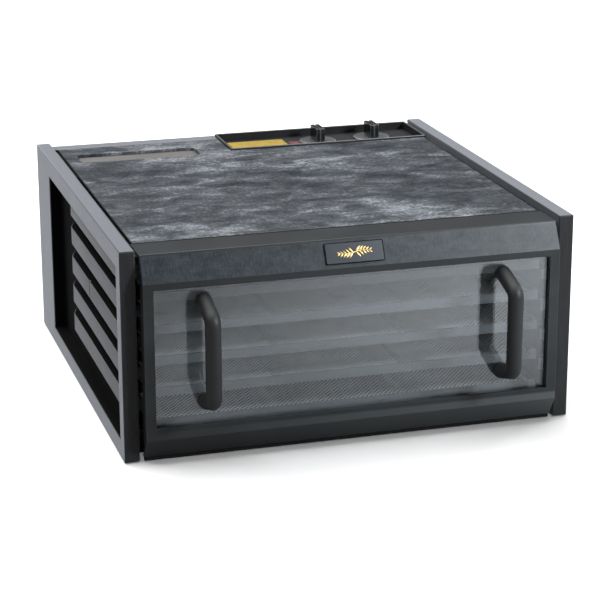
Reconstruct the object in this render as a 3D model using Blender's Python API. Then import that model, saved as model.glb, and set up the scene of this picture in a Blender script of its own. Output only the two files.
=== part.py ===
"""A box-shaped food dehydrator with five sliding trays, a lift-off door and a rear fan.

Metres, +Z up. The object's origin is the middle of its footprint, on the surface it stands
on, with the door towards -Y. Every piece is placed from the empty cabinet_front, which stands
at the middle of the side frames' front plane: there x is 0 at the middle of the width, y is
the depth behind the side frames' front edges, and z is the height above the table.
"""

import math

import bmesh
import bpy
from mathutils import Matrix, Vector

# ---- driving dimensions ----------------------------------------------------------------
WIDTH = 0.432                # across the two side frames
DEPTH = 0.430                # the side frames, front edge to back edge
HEIGHT = 0.200               # table to the top edge of the side frames
HANDLE_REACH = 0.050         # how far the handles stand in front of the side frames
GAP = 0.0003                 # clearance between pieces that touch
RUNNING = 0.0001             # radial clearance round a shaft that turns

FRAME_THICK = 0.0144         # one side frame, across
FRAME_LIFT = 0.0008          # the side frames clear the table by this
FRAME_EDGE = 0.0012          # rounding of the side frames' edges
RECESS_FRONT = 0.017         # the recess in a side frame, from its front edge
RECESS_BACK = 0.355
RECESS_LOW = 0.018
RECESS_HIGH = 0.182
RECESS_SKIN = 0.0022         # what is left behind the recess
RIB_COUNT = 4
RIB_PITCH = 0.0298
RIB_HIGH = 0.0172
RIB_TOP_CENTRE = 0.151       # height of the uppermost rib's middle
RIB_STRAIGHT = 0.236         # where a rib's face starts to curve inwards
RIB_END = 0.267              # where it meets the floor of the recess
RIB_SINK = 0.0004            # a rib's face lies this far behind the frame's face
BROW_LOW = 0.1714            # underside of the strip that closes the ribs at the top

WALL_THICK = 0.0023          # the cabinet's inner side walls
FLOOR_LOW, FLOOR_TOP = 0.005, 0.009
ROOF_LOW, ROOF_TOP = 0.189, 0.193
ROOF_FRONT = 0.0056          # behind the lip that passes it as the door is lifted
CABINET_TOP = 0.196          # the laminate and the door's top strip
BODY_FRONT = 0.016           # front edges of the walls
BODY_BACK = 0.4127           # back edges of the walls, floor and roof

TRAY_COUNT = 5
TRAY_PITCH = 0.030
TRAY_TOP_Z = 0.145           # underside of the uppermost tray
TRAY_HALF = 0.1905           # 15 in wide
TRAY_FRONT = 0.018
TRAY_LONG = 0.356
TRAY_HIGH = 0.0087
TRAY_WALL = 0.002
TRAY_WINDOWS = 3             # openings in a tray's base, each way
TRAY_BAR = 0.004             # width of the bars between them
SCREEN_THICK = 0.0008
RAIL_WIDE, RAIL_HIGH = 0.005, 0.0122       # the block at the front end of each shelf
RAIL_FRONT = 0.020
SHELF_WIDE, SHELF_THICK = 0.015, 0.0022    # the shelf that a tray's edge slides on
SHELF_FRONT = 0.040

DOOR_HALF = 0.198
DOOR_FACE = -0.013           # the door's front face
DOOR_SKIN = 0.0045
DOOR_BOTTOM = 0.0045
DOOR_STRIP_BACK = 0.037      # back edge of the strip that lies on the cabinet
SLOPE_LOW = 0.172            # the upper slope runs from here up to the strip
CHIN_HIGH = 0.025            # the lower slope runs from here down to the door's bottom
OPENING_HALF = 0.1885        # the window opening in the skin
OPENING_LOW, OPENING_HIGH = 0.036, 0.1657
PANE_LAP = 0.0042            # the pane reaches this far past the opening, behind the skin
PANE_THICK = 0.0024

HANDLE_X = 0.1425
HANDLE_RADIUS = 0.00725
HANDLE_Z = 0.105             # middle of a handle
HANDLE_FOOT = 0.0475         # from there to the middle of each foot
HANDLE_BEND = 0.008
HANDLE_SPLAY = 0.0095        # a foot stands this far beyond the end of the grip

LAMINATE_HALF = 0.1966
POCKET = ((-0.182, 0.348), (-0.0554, 0.383))
PANEL_LOW, PANEL_THICK = 0.413, 0.003

CONTROL_X = (-0.021, 0.1987)
CONTROL_FRONT = 0.357
CONTROL_FLOOR = 0.190
CONTROL_RIM = 0.1975
CONTROL_WALL = 0.003
DIAL_RADIUS = 0.01975
KNOB_TOP = 0.2071
GRIP_HALF_WIDE, GRIP_HALF_LONG = 0.0048, 0.012
KNOB_SHAFT = 0.0025
TIMER_AT = (0.086, 0.393)
THERMOSTAT_AT = (0.148, 0.395)

FAN_Z = 0.097
FAN_Y = 0.391                # middle of the fan's thickness
FAN_RADIUS = 0.074
FAN_BLADES = 5
SHAFT_RADIUS = 0.0025
GUARD_FRONT = 0.376
ROUND = 32                   # segments of a large round piece
SMALL_ROUND = 24             # segments of a small one
SCREW_ROUND = 14             # segments of a screw and its hole

FRONT_Y = -(DEPTH + HANDLE_REACH) / 2 + HANDLE_REACH
FRAME_OUTER = WIDTH / 2
FRAME_INNER = FRAME_OUTER - FRAME_THICK
BODY_HALF = FRAME_INNER - GAP
WALL_INNER = BODY_HALF - WALL_THICK

# ---- shapes ----------------------------------------------------------------------------


def spatial(along, flat, height):
    """The 3-D point over a flat point, at this height along an axis named by its letter."""
    values = list(flat)
    values.insert("xyz".index(along), height)
    return values


def add_box(bm, low, high):
    centre = (Vector(low) + Vector(high)) / 2
    size = Vector(high) - Vector(low)
    bmesh.ops.create_cube(bm, size=1, matrix=Matrix.Translation(centre) @ Matrix.Diagonal((*size, 1)))


def add_prism(bm, outline, along, start, end):
    """An outline in the plane across an axis, made solid between two heights."""
    low = [bm.verts.new(spatial(along, point, start)) for point in outline]
    high = [bm.verts.new(spatial(along, point, end)) for point in outline]
    bm.faces.new(low)
    bm.faces.new(list(reversed(high)))
    for index in range(len(outline)):
        after = (index + 1) % len(outline)
        bm.faces.new((low[index], high[index], high[after], low[after]))


def add_ring(bm, profile, centre, along, segments=ROUND):
    """A closed outline of (radius, height) turned about an axis that it doesn't touch."""
    rings = []
    for step in range(segments):
        angle = math.tau * step / segments
        ring = []
        for radius, height in profile:
            flat = (centre[0] + radius * math.cos(angle), centre[1] + radius * math.sin(angle))
            ring.append(bm.verts.new(spatial(along, flat, height)))
        rings.append(ring)
    for index in range(segments):
        here, there = rings[index], rings[(index + 1) % segments]
        for point in range(len(profile)):
            after = (point + 1) % len(profile)
            bm.faces.new((here[point], there[point], there[after], here[after]))


def add_spindle(bm, stations, centre, along, segments=SMALL_ROUND):
    """A solid turned piece. Its stations are (radius, height) from one end to the other."""
    rings = []
    for radius, height in stations:
        rings.append([bm.verts.new(spatial(along, flat, height))
                      for flat in circle(radius, centre, segments)])
    bm.faces.new(rings[0])
    bm.faces.new(list(reversed(rings[-1])))
    for here, there in zip(rings, rings[1:]):
        for index in range(segments):
            after = (index + 1) % segments
            bm.faces.new((here[index], there[index], there[after], here[after]))


def add_tube(bm, path, radius, sides):
    """A round bar along a path that lies in a plane of constant x."""
    rings = []
    for index, point in enumerate(path):
        before = path[max(index - 1, 0)]
        after = path[min(index + 1, len(path) - 1)]
        forward = (after - before).normalized()
        across = Vector((1, 0, 0))
        upward = forward.cross(across)
        rings.append([bm.verts.new(point + radius * (math.cos(turn) * across + math.sin(turn) * upward))
                      for turn in (math.tau * side / sides for side in range(sides))])
    bm.faces.new(rings[0])
    bm.faces.new(list(reversed(rings[-1])))
    for here, there in zip(rings, rings[1:]):
        for index in range(sides):
            after = (index + 1) % sides
            bm.faces.new((here[index], there[index], there[after], here[after]))


def circle(radius, centre=(0, 0), segments=SMALL_ROUND):
    points = []
    for step in range(segments):
        angle = math.tau * step / segments
        points.append((centre[0] + radius * math.cos(angle), centre[1] + radius * math.sin(angle)))
    return points


def rounded(corners, steps=4):
    """An outline whose corners, each (u, v, radius), are rounded by arcs."""
    points = []
    for index, (u, v, radius) in enumerate(corners):
        corner = Vector((u, v))
        if radius == 0:
            points.append((u, v))
            continue
        before = (Vector(corners[index - 1][:2]) - corner).normalized()
        after = (Vector(corners[(index + 1) % len(corners)][:2]) - corner).normalized()
        half = math.acos(max(-1, min(1, before.dot(after)))) / 2
        centre = corner + (before + after).normalized() * radius / math.sin(half)
        start = corner + before * radius / math.tan(half) - centre
        end = corner + after * radius / math.tan(half) - centre
        sweep = math.atan2(start.x * end.y - start.y * end.x, start.dot(end))
        for step in range(steps + 1):
            turn = sweep * step / steps
            x = start.x * math.cos(turn) - start.y * math.sin(turn)
            y = start.x * math.sin(turn) + start.y * math.cos(turn)
            points.append((centre.x + x, centre.y + y))
    return points


def rounded_rectangle(low, high, radius, steps=4):
    return rounded([(low[0], low[1], radius), (high[0], low[1], radius),
                    (high[0], high[1], radius), (low[0], high[1], radius)], steps)


# ---- objects ---------------------------------------------------------------------------

for old in list(bpy.data.objects):
    bpy.data.objects.remove(old)


def anchor(name, place, parent=None):
    """An empty that other pieces are placed from."""
    empty = bpy.data.objects.new(name, None)
    bpy.context.scene.collection.objects.link(empty)
    empty.location = place
    empty.parent = parent
    return empty


CABINET = anchor("cabinet_front", (0, FRONT_Y, 0))


def material(name, colour, roughness, metallic=0.0, alpha=1.0):
    made = bpy.data.materials.new(name)
    made.use_nodes = True
    shader = made.node_tree.nodes["Principled BSDF"]
    shader.inputs["Base Color"].default_value = (*colour, 1)
    shader.inputs["Roughness"].default_value = roughness
    shader.inputs["Metallic"].default_value = metallic
    shader.inputs["Alpha"].default_value = alpha
    made.diffuse_color = (*colour, alpha)
    return made


FRAME_PLASTIC = material("charcoal_frame_plastic", (0.045, 0.048, 0.050), 0.38)
INNER_PLASTIC = material("inner_wall_plastic", (0.055, 0.058, 0.062), 0.50)
DOOR_PLASTIC = material("door_plastic", (0.050, 0.054, 0.055), 0.32)
SLATE = material("slate_laminate", (0.085, 0.092, 0.105), 0.45)
PANE = material("smoky_window", (0.45, 0.48, 0.50), 0.05, alpha=0.35)
HANDLE_BLACK = material("handle_black", (0.020, 0.021, 0.022), 0.45)
TRAY_PLASTIC = material("tray_plastic", (0.110, 0.120, 0.130), 0.50)
SCREEN_PLASTIC = material("screen_plastic", (0.30, 0.31, 0.32), 0.60)
BADGE_BLACK = material("badge_black", (0.022, 0.022, 0.024), 0.25)
LABEL = material("dial_label_yellow", (0.75, 0.47, 0.08), 0.55)
DIAL_GREY = material("dial_grey", (0.16, 0.17, 0.18), 0.20)
KNOB_BLACK = material("knob_black", (0.015, 0.016, 0.017), 0.18)
CONTROL_BLACK = material("control_tray_black", (0.025, 0.026, 0.028), 0.35)
STEEL = material("bright_steel", (0.55, 0.56, 0.57), 0.35, metallic=1.0)
COPPER = material("copper_winding", (0.70, 0.33, 0.16), 0.40, metallic=1.0)
BRONZE = material("bearing_bronze", (0.55, 0.38, 0.18), 0.40, metallic=1.0)
ALUMINIUM = material("fan_aluminium", (0.72, 0.73, 0.74), 0.35, metallic=1.0)
HEATER_STEEL = material("heater_steel", (0.28, 0.25, 0.23), 0.50, metallic=1.0)
RUBBER = material("foot_rubber", (0.020, 0.020, 0.020), 0.85)
SWITCH_PLASTIC = material("switch_body_plastic", (0.62, 0.60, 0.54), 0.55)


def mesh_from(bm, name):
    bmesh.ops.recalc_face_normals(bm, faces=bm.faces)
    mesh = bpy.data.meshes.new(name)
    bm.to_mesh(mesh)
    bm.free()
    mesh.shade_smooth()
    mesh.set_sharp_from_angle(angle=math.radians(35))
    return mesh


def piece(name, shape, finish, parent=CABINET):
    """A sub-part, from a bmesh or from a mesh that it shares with its twins."""
    mesh = shape if isinstance(shape, bpy.types.Mesh) else mesh_from(shape, name)
    if not mesh.materials:
        mesh.materials.append(finish)
    made = bpy.data.objects.new(name, mesh)
    bpy.context.scene.collection.objects.link(made)
    made.parent = parent
    return made


def helper(name, shape, parent=CABINET):
    """A shape that only cuts or joins, so it isn't a sub-part itself."""
    mesh = shape if isinstance(shape, bpy.types.Mesh) else mesh_from(shape, name)
    made = bpy.data.objects.new(name, mesh)
    bpy.context.scene.collection.objects.link(made)
    made.parent = parent
    made.hide_render = True
    made.display_type = "WIRE"
    return made


def boolean(target, other, operation):
    modifier = target.modifiers.new(f"{operation.lower()}_{other.name}", "BOOLEAN")
    modifier.operation = operation
    modifier.solver = "EXACT"
    modifier.object = other


def cut(target, other):
    boolean(target, other, "DIFFERENCE")


def join(target, other):
    boolean(target, other, "UNION")


def bevel(target, width, segments=2):
    modifier = target.modifiers.new("rounded_edges", "BEVEL")
    modifier.width = width
    modifier.segments = segments
    modifier.limit_method = "ANGLE"
    modifier.angle_limit = math.radians(40)


def box_mesh(*boxes):
    bm = bmesh.new()
    for low, high in boxes:
        add_box(bm, low, high)
    return bm


def prism_mesh(outline, along, start, end):
    bm = bmesh.new()
    add_prism(bm, outline, along, start, end)
    return bm


def ring_mesh(profile, centre, along, segments=ROUND):
    bm = bmesh.new()
    add_ring(bm, profile, centre, along, segments)
    return bm


def spindle_mesh(stations, centre, along, segments=SMALL_ROUND):
    bm = bmesh.new()
    add_spindle(bm, stations, centre, along, segments)
    return bm


def vent_slots(centre_z, radius, pitch, high, start, end, spine):
    """Level slots, cut short to fill a round field, on both sides of an upright spine."""
    boxes = []
    rows = int(radius / pitch)
    for row in range(-rows, rows + 1):
        middle = centre_z + row * pitch
        reach = math.sqrt(radius ** 2 - (abs(row) * pitch) ** 2)
        if reach < spine * 3:
            continue
        for near, far in ((-reach, -spine), (spine, reach)):
            boxes.append(((near, start, middle - high / 2), (far, end, middle + high / 2)))
    return box_mesh(*boxes)


# ---- the cabinet -----------------------------------------------------------------------


def side_frame(name, side):
    """A thick moulded plate with a deep recess, ribs across it and a wide back post."""
    outline = rounded([(0, FRAME_LIFT, 0.0020), (DEPTH, FRAME_LIFT, 0.0060),
                       (DEPTH, HEIGHT, 0.0040), (0.0050, HEIGHT, 0), (0, HEIGHT - 0.0050, 0)])
    frame = piece(name, prism_mesh(outline, "x", side * FRAME_INNER, side * FRAME_OUTER), FRAME_PLASTIC)
    bevel(frame, FRAME_EDGE)
    recess_floor = FRAME_INNER + RECESS_SKIN
    recess = box_mesh(((side * recess_floor, RECESS_FRONT, RECESS_LOW),
                       (side * (FRAME_OUTER + 0.01), RECESS_BACK, RECESS_HIGH)))
    cut(frame, helper(name + "_recess", recess))
    rib_face = FRAME_OUTER - RIB_SINK
    rooted = recess_floor - 0.0016
    end_arc = []
    for step in range(6):
        turn = math.pi / 2 * step / 6
        end_arc.append((side * (recess_floor + (rib_face - recess_floor) * math.cos(turn)),
                        RIB_STRAIGHT + (RIB_END - RIB_STRAIGHT) * math.sin(turn)))
    rib_outline = [(side * rooted, RECESS_FRONT - 0.003), (side * rib_face, RECESS_FRONT - 0.003),
                   *end_arc, (side * rooted, RIB_END)]
    heights = [(RIB_TOP_CENTRE - RIB_PITCH * index - RIB_HIGH / 2,
                RIB_TOP_CENTRE - RIB_PITCH * index + RIB_HIGH / 2) for index in range(RIB_COUNT)]
    heights.append((BROW_LOW, RECESS_HIGH + 0.003))
    for index, (low, high) in enumerate(heights):
        rib = helper(f"{name}_rib_{index + 1}", prism_mesh(rib_outline, "z", low, high))
        bevel(rib, FRAME_EDGE)
        join(frame, rib)
    notch_low = RIB_TOP_CENTRE - RIB_PITCH - 0.0065
    notch = box_mesh(((side * (FRAME_OUTER - 0.0028), 0.148, notch_low),
                      (side * (FRAME_OUTER + 0.01), 0.1515, notch_low + 0.0125)))
    cut(frame, helper(name + "_notch", notch))
    return frame


def inner_wall(name, side):
    """A cabinet side wall with a shelf for each tray, and a block that leads the tray onto it."""
    wall = piece(name, box_mesh(((side * WALL_INNER, BODY_FRONT, FLOOR_TOP + GAP),
                                 (side * BODY_HALF, BODY_BACK, ROOF_LOW - GAP))), INNER_PLASTIC)
    rooted = WALL_INNER + 0.0008
    for index in range(TRAY_COUNT):
        top = TRAY_TOP_Z - TRAY_PITCH * index - GAP
        block = box_mesh(((side * (WALL_INNER - RAIL_WIDE), RAIL_FRONT, top - RAIL_HIGH),
                          (side * rooted, SHELF_FRONT + 0.006, top - GAP)))
        join(wall, helper(f"{name}_block_{index + 1}", block))
        shelf = box_mesh(((side * (WALL_INNER - SHELF_WIDE), SHELF_FRONT, top - SHELF_THICK),
                          (side * rooted, TRAY_FRONT + TRAY_LONG - 0.006, top)))
        join(wall, helper(f"{name}_shelf_{index + 1}", shelf))
    return wall


def cabinet_floor():
    return piece("cabinet_floor", box_mesh(((-BODY_HALF, 0.012, FLOOR_LOW),
                                            (BODY_HALF, BODY_BACK, FLOOR_TOP))), INNER_PLASTIC)


def control_notch(name, low, high):
    """The corner that the control tray fills, as a cutter between two heights."""
    return helper(name, box_mesh(((CONTROL_X[0] - GAP, CONTROL_FRONT - GAP, low),
                                  (FRAME_OUTER, DEPTH + 0.01, high))))


def cabinet_roof():
    roof = piece("cabinet_roof", box_mesh(((-BODY_HALF, ROOF_FRONT, ROOF_LOW),
                                           (BODY_HALF, BODY_BACK, ROOF_TOP))), INNER_PLASTIC)
    cut(roof, control_notch("roof_notch", ROOF_LOW - 0.01, CABINET_TOP + 0.01))
    return roof


def top_laminate():
    """The slate-look sheet, with a shallow pocket at its back left."""
    sheet = piece("top_laminate", box_mesh(((-LAMINATE_HALF, DOOR_STRIP_BACK + GAP, ROOF_TOP + GAP),
                                            (LAMINATE_HALF, PANEL_LOW - GAP, CABINET_TOP))), SLATE)
    cut(sheet, control_notch("laminate_notch", ROOF_TOP - 0.01, CABINET_TOP + 0.01))
    (left, front), (right, back) = POCKET
    outline = rounded_rectangle((left, front), (right, back), 0.006)
    cut(sheet, helper("laminate_pocket", prism_mesh(outline, "z", ROOF_TOP - 0.01, CABINET_TOP + 0.01)))
    return sheet


SCREW_PLACES = [(side * 0.110, FAN_Z + rise) for side in (-1, 1) for rise in (-0.006, 0.006)]
GLAND_AT = (-0.150, 0.040)


def back_panel():
    """A shallow pan with an intake grille, screw bosses and a hole for the cord gland."""
    panel = piece("back_panel", box_mesh(((-BODY_HALF, PANEL_LOW, FLOOR_LOW),
                                          (BODY_HALF, DEPTH, CABINET_TOP))), FRAME_PLASTIC)
    inside = DEPTH - PANEL_THICK
    edge = BODY_HALF - PANEL_THICK
    cut(panel, helper("panel_hollow", box_mesh(((-edge, PANEL_LOW - 0.01, FLOOR_LOW + PANEL_THICK),
                                                (edge, inside, CABINET_TOP - PANEL_THICK)))))
    cut(panel, control_notch("panel_notch", CONTROL_FLOOR - 0.0023, CABINET_TOP + 0.01))
    cut(panel, helper("panel_vents", vent_slots(FAN_Z, 0.068, 0.0115, 0.0065,
                                                inside - 0.005, DEPTH + 0.01, 0.004)))
    for index, place in enumerate(SCREW_PLACES):
        boss = spindle_mesh([(0.0040, 0.420), (0.0040, inside + 0.0006)], place, "y", SCREW_ROUND)
        join(panel, helper(f"panel_boss_{index + 1}", boss))
        pilot = spindle_mesh([(0.0019, 0.410), (0.0019, 0.4255)], place, "y", SCREW_ROUND)
        cut(panel, helper(f"panel_pilot_{index + 1}", pilot))
    cut(panel, helper("panel_gland_hole", spindle_mesh([(0.0083, 0.41), (0.0083, 0.44)], GLAND_AT, "y")))
    return panel


def cord_gland():
    """A flanged bush in the back panel, seated from the inside."""
    inside = DEPTH - PANEL_THICK
    profile = [(0.0035, 0.4230), (0.0105, 0.4230), (0.0105, inside - GAP),
               (0.0080, inside - GAP), (0.0080, DEPTH - 0.0001), (0.0035, DEPTH - 0.0001)]
    return piece("cord_gland", ring_mesh(profile, GLAND_AT, "y", SMALL_ROUND), RUBBER)


def feet():
    stations = [(0.0075, 0), (0.0085, 0.001), (0.0090, FLOOR_LOW - GAP)]
    for name, x, y in (("foot_front_left", -0.185, 0.030), ("foot_front_right", 0.185, 0.030),
                       ("foot_back_left", -0.185, 0.395), ("foot_back_right", 0.185, 0.395)):
        piece(name, spindle_mesh(stations, (x, y), "z"), RUBBER)


# ---- the controls ----------------------------------------------------------------------


def control_tray():
    low = (CONTROL_X[0], CONTROL_FRONT)
    high = (CONTROL_X[1], DEPTH)
    underside = CONTROL_FLOOR - 0.002
    tray = piece("control_tray", prism_mesh(rounded_rectangle(low, high, 0.0025, 3), "z",
                                            underside, CONTROL_RIM), CONTROL_BLACK)
    bevel(tray, 0.0006, 1)
    inner = prism_mesh(rounded_rectangle((low[0] + CONTROL_WALL, low[1] + CONTROL_WALL),
                                         (high[0] - CONTROL_WALL, high[1] - CONTROL_WALL), 0.002, 3),
                       "z", CONTROL_FLOOR, CONTROL_RIM + 0.01)
    cut(tray, helper("control_hollow", inner))
    for name, place in (("timer", TIMER_AT), ("thermostat", THERMOSTAT_AT)):
        hole = spindle_mesh([(0.0035, underside - 0.01), (0.0035, CONTROL_FLOOR + 0.01)], place, "z")
        cut(tray, helper(f"{name}_tray_hole", hole))
    return tray


def dial_label():
    outline = rounded_rectangle((-0.013, 0.366), (0.051, 0.414), 0.0015, 2)
    return piece("dial_label", prism_mesh(outline, "z", CONTROL_FLOOR + GAP, CONTROL_FLOOR + 0.0008), LABEL)


def knob_set(name, place):
    """A grey dial disc, a black grip bar and the shaft that they sit on, about a common axis."""
    axis = anchor(f"{name}_axis", (*place, CONTROL_FLOOR), CABINET)
    bore = KNOB_SHAFT + RUNNING
    dial_top = 0.0025
    profile = [(bore, 0.0004), (DIAL_RADIUS, 0.0004), (DIAL_RADIUS, 0.0017),
               (DIAL_RADIUS - 0.0010, dial_top), (bore, dial_top)]
    piece(f"{name}_dial", ring_mesh(profile, (0, 0), "z"), DIAL_GREY, axis)
    grip_top = KNOB_TOP - CONTROL_FLOOR
    outline = rounded_rectangle((-GRIP_HALF_WIDE, -GRIP_HALF_LONG), (GRIP_HALF_WIDE, GRIP_HALF_LONG), 0.0030)
    grip = piece(f"{name}_knob", prism_mesh(outline, "z", dial_top + GAP, grip_top), KNOB_BLACK, axis)
    bevel(grip, 0.0008)
    socket = spindle_mesh([(bore, 0), (bore, grip_top - 0.0025)], (0, 0), "z")
    cut(grip, helper(f"{name}_knob_socket", socket, axis))
    shaft = [(KNOB_SHAFT, -0.0135), (KNOB_SHAFT, grip_top - 0.0030)]
    piece(f"{name}_shaft", spindle_mesh(shaft, (0, 0), "z"), STEEL, axis)


def switch_body(name, place, half_width, drum):
    """The timer or the thermostat under the control tray, with a socket for its shaft."""
    top = CONTROL_FLOOR - 0.0023
    bottom = 0.160
    x, y = place
    half_deep = 0.012
    body = piece(name, prism_mesh(rounded_rectangle((x - half_width, y - half_deep),
                                                    (x + half_width, y + half_deep), 0.002, 2),
                                  "z", bottom, top), SWITCH_PLASTIC)
    if drum:
        drum_solid = spindle_mesh([(drum, bottom - 0.010), (drum, bottom + 0.002)], place, "z")
        join(body, helper(f"{name}_drum", drum_solid))
    socket = spindle_mesh([(KNOB_SHAFT + 2 * RUNNING, 0.175), (KNOB_SHAFT + 2 * RUNNING, 0.20)], place, "z")
    cut(body, helper(f"{name}_socket", socket))


# ---- the fan compartment ---------------------------------------------------------------


def fan_guard():
    guard = piece("fan_guard", box_mesh(((-WALL_INNER + GAP, GUARD_FRONT, FLOOR_TOP + GAP),
                                         (WALL_INNER - GAP, GUARD_FRONT + 0.0025, CONTROL_FLOOR - 0.0023))),
                  INNER_PLASTIC)
    cut(guard, helper("guard_slots", vent_slots(FAN_Z, 0.076, 0.011, 0.0070,
                                                GUARD_FRONT - 0.01, GUARD_FRONT + 0.02, 0.003)))
    return guard


def heater():
    middle, reach, wire = FAN_Y - 0.002, 0.0805, 0.0028
    profile = [(reach + u, middle + v) for u, v in circle(wire, segments=6)]
    piece("heating_element", ring_mesh(profile, (0, FAN_Z), "y", 40), HEATER_STEEL)
    profile = [(0.0858, 0.380), (0.0876, 0.380), (0.0876, 0.398), (0.0858, 0.398)]
    piece("heater_shroud", ring_mesh(profile, (0, FAN_Z), "y", 40), STEEL)


def motor():
    """A shaded-pole motor: stack, winding, two bearings, and the straps that carry them."""
    stack_front, stack_back = 0.4023, 0.4183
    stack_half, bore, slot_half = 0.030, 0.0135, 0.020
    leg_low, leg_high, slot_high = FAN_Z - 0.046, FAN_Z - 0.037, FAN_Z - 0.018
    stator = piece("motor_stator", box_mesh(((-stack_half, stack_front, leg_low),
                                             (stack_half, stack_back, FAN_Z + 0.024))), STEEL)
    cut(stator, helper("stator_bore", spindle_mesh([(bore, 0.39), (bore, 0.43)], (0, FAN_Z), "y")))
    cut(stator, helper("stator_slot", box_mesh(((-slot_half, 0.39, leg_high), (slot_half, 0.43, slot_high)))))
    coil = piece("motor_coil", box_mesh(((-0.0194, 0.3985, leg_low - 0.009),
                                         (0.0194, 0.4222, slot_high - 0.0006))), COPPER)
    bevel(coil, 0.0015)
    cut(coil, helper("coil_core", box_mesh(((-0.03, stack_front - GAP, leg_low - GAP),
                                            (0.03, stack_back + GAP, leg_high + GAP)))))
    thick, foot = 0.002, 0.4177
    hat = [(-0.116, foot + thick), (-0.116, foot), (-0.102, foot), (-0.102, 0.400), (0.102, 0.400),
           (0.102, foot), (0.116, foot), (0.116, foot + thick), (0.100, foot + thick),
           (0.100, 0.402), (-0.100, 0.402), (-0.100, foot + thick)]
    strap = piece("motor_bracket", prism_mesh(hat, "z", FAN_Z - 0.012, FAN_Z + 0.012), STEEL)
    bearing_hole = spindle_mesh([(0.0063, 0.39), (0.0063, 0.43)], (0, FAN_Z), "y", ROUND)
    bearing_hole = helper("bearing_hole", bearing_hole)
    cut(strap, bearing_hole)
    for index, place in enumerate(SCREW_PLACES):
        hole = spindle_mesh([(0.0019, 0.41), (0.0019, 0.43)], place, "y", SCREW_ROUND)
        cut(strap, helper(f"bracket_hole_{index + 1}", hole))
        screw = [(0.0028, 0.4152), (0.0032, 0.4157), (0.0032, foot - GAP), (0.0015, foot - GAP),
                 (0.0015, 0.4245)]
        piece(f"bracket_screw_{index + 1}", spindle_mesh(screw, place, "y", SCREW_ROUND), STEEL)
    rear = piece("rear_bearing_strap", box_mesh(((-0.028, stack_back + GAP, FAN_Z - 0.009),
                                                 (0.028, stack_back + GAP + thick, FAN_Z + 0.009))), STEEL)
    cut(rear, bearing_hole)
    bore = SHAFT_RADIUS + RUNNING
    for name, low, high in (("front_bearing", 0.3985, 0.4035), ("rear_bearing", 0.4180, 0.4225)):
        profile = [(bore, low), (0.0060, low), (0.0060, high), (bore, high)]
        piece(name, ring_mesh(profile, (0, FAN_Z), "y"), BRONZE)


def fan_blades():
    """Five pitched blades, as one shape whose inner ends lie inside the hub."""
    half_span = math.radians(25)
    thick = 0.0007
    radii = [0.011, 0.026, 0.042, 0.058, FAN_RADIUS]
    across = 4
    bm = bmesh.new()
    for blade in range(FAN_BLADES):
        layers = []
        for layer in (-1, 1):
            grid = []
            for radius in radii:
                row = []
                for step in range(across + 1):
                    share = 2 * step / across - 1
                    turn = math.tau * blade / FAN_BLADES + share * half_span
                    rise = 0.0048 * share * (1.15 - 0.35 * radius / FAN_RADIUS)
                    row.append(bm.verts.new((radius * math.cos(turn), rise + layer * thick,
                                             radius * math.sin(turn))))
                grid.append(row)
            layers.append(grid)
        below, above = layers
        last = len(radii) - 1
        for i in range(last):
            for j in range(across):
                bm.faces.new((below[i][j], below[i + 1][j], below[i + 1][j + 1], below[i][j + 1]))
                bm.faces.new((above[i][j], above[i][j + 1], above[i + 1][j + 1], above[i + 1][j]))
            for j in (0, across):
                bm.faces.new((below[i][j], above[i][j], above[i + 1][j], below[i + 1][j]))
        for j in range(across):
            for i in (0, last):
                bm.faces.new((below[i][j], below[i][j + 1], above[i][j + 1], above[i][j]))
    return bm


def fan():
    """Blade, shaft, rotor and nut, which all turn about the axis fan_axis."""
    axis = anchor("fan_axis", (0, FAN_Y, FAN_Z), CABINET)
    bore = SHAFT_RADIUS + RUNNING
    profile = [(bore, -0.006), (0.013, -0.006), (0.014, -0.005), (0.014, 0.006), (bore, 0.006)]
    blade = piece("fan_blade", ring_mesh(profile, (0, 0), "y"), ALUMINIUM, axis)
    join(blade, helper("fan_blade_vanes", fan_blades(), axis))
    piece("fan_shaft", spindle_mesh([(SHAFT_RADIUS, -0.0105), (SHAFT_RADIUS, 0.0335)], (0, 0), "y", ROUND),
          STEEL, axis)
    profile = [(bore, 0.0130), (0.0129, 0.0130), (0.0129, 0.0265), (bore, 0.0265)]
    piece("motor_rotor", ring_mesh(profile, (0, 0), "y"), STEEL, axis)
    clear = bore / math.cos(math.pi / 6)
    profile = [(clear, -0.0095), (0.0050, -0.0095), (0.0050, -0.0063), (clear, -0.0063)]
    piece("fan_nut", ring_mesh(profile, (0, 0), "y", 6), STEEL, axis)


# ---- the door --------------------------------------------------------------------------


def door_profile():
    """The door's section, front to back and upwards: a bent skin of even thickness."""
    back = DOOR_FACE + DOOR_SKIN
    return [(DOOR_STRIP_BACK, CABINET_TOP), (0, CABINET_TOP), (DOOR_FACE, SLOPE_LOW),
            (DOOR_FACE, CHIN_HIGH), (0, DOOR_BOTTOM), (0.005, DOOR_BOTTOM), (0.005, DOOR_BOTTOM + 0.003),
            (0.0025, DOOR_BOTTOM + 0.004), (back, CHIN_HIGH + 0.001), (back, SLOPE_LOW - 0.001),
            (0.0025, ROOF_TOP + GAP), (DOOR_STRIP_BACK, ROOF_TOP + GAP)]


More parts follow.
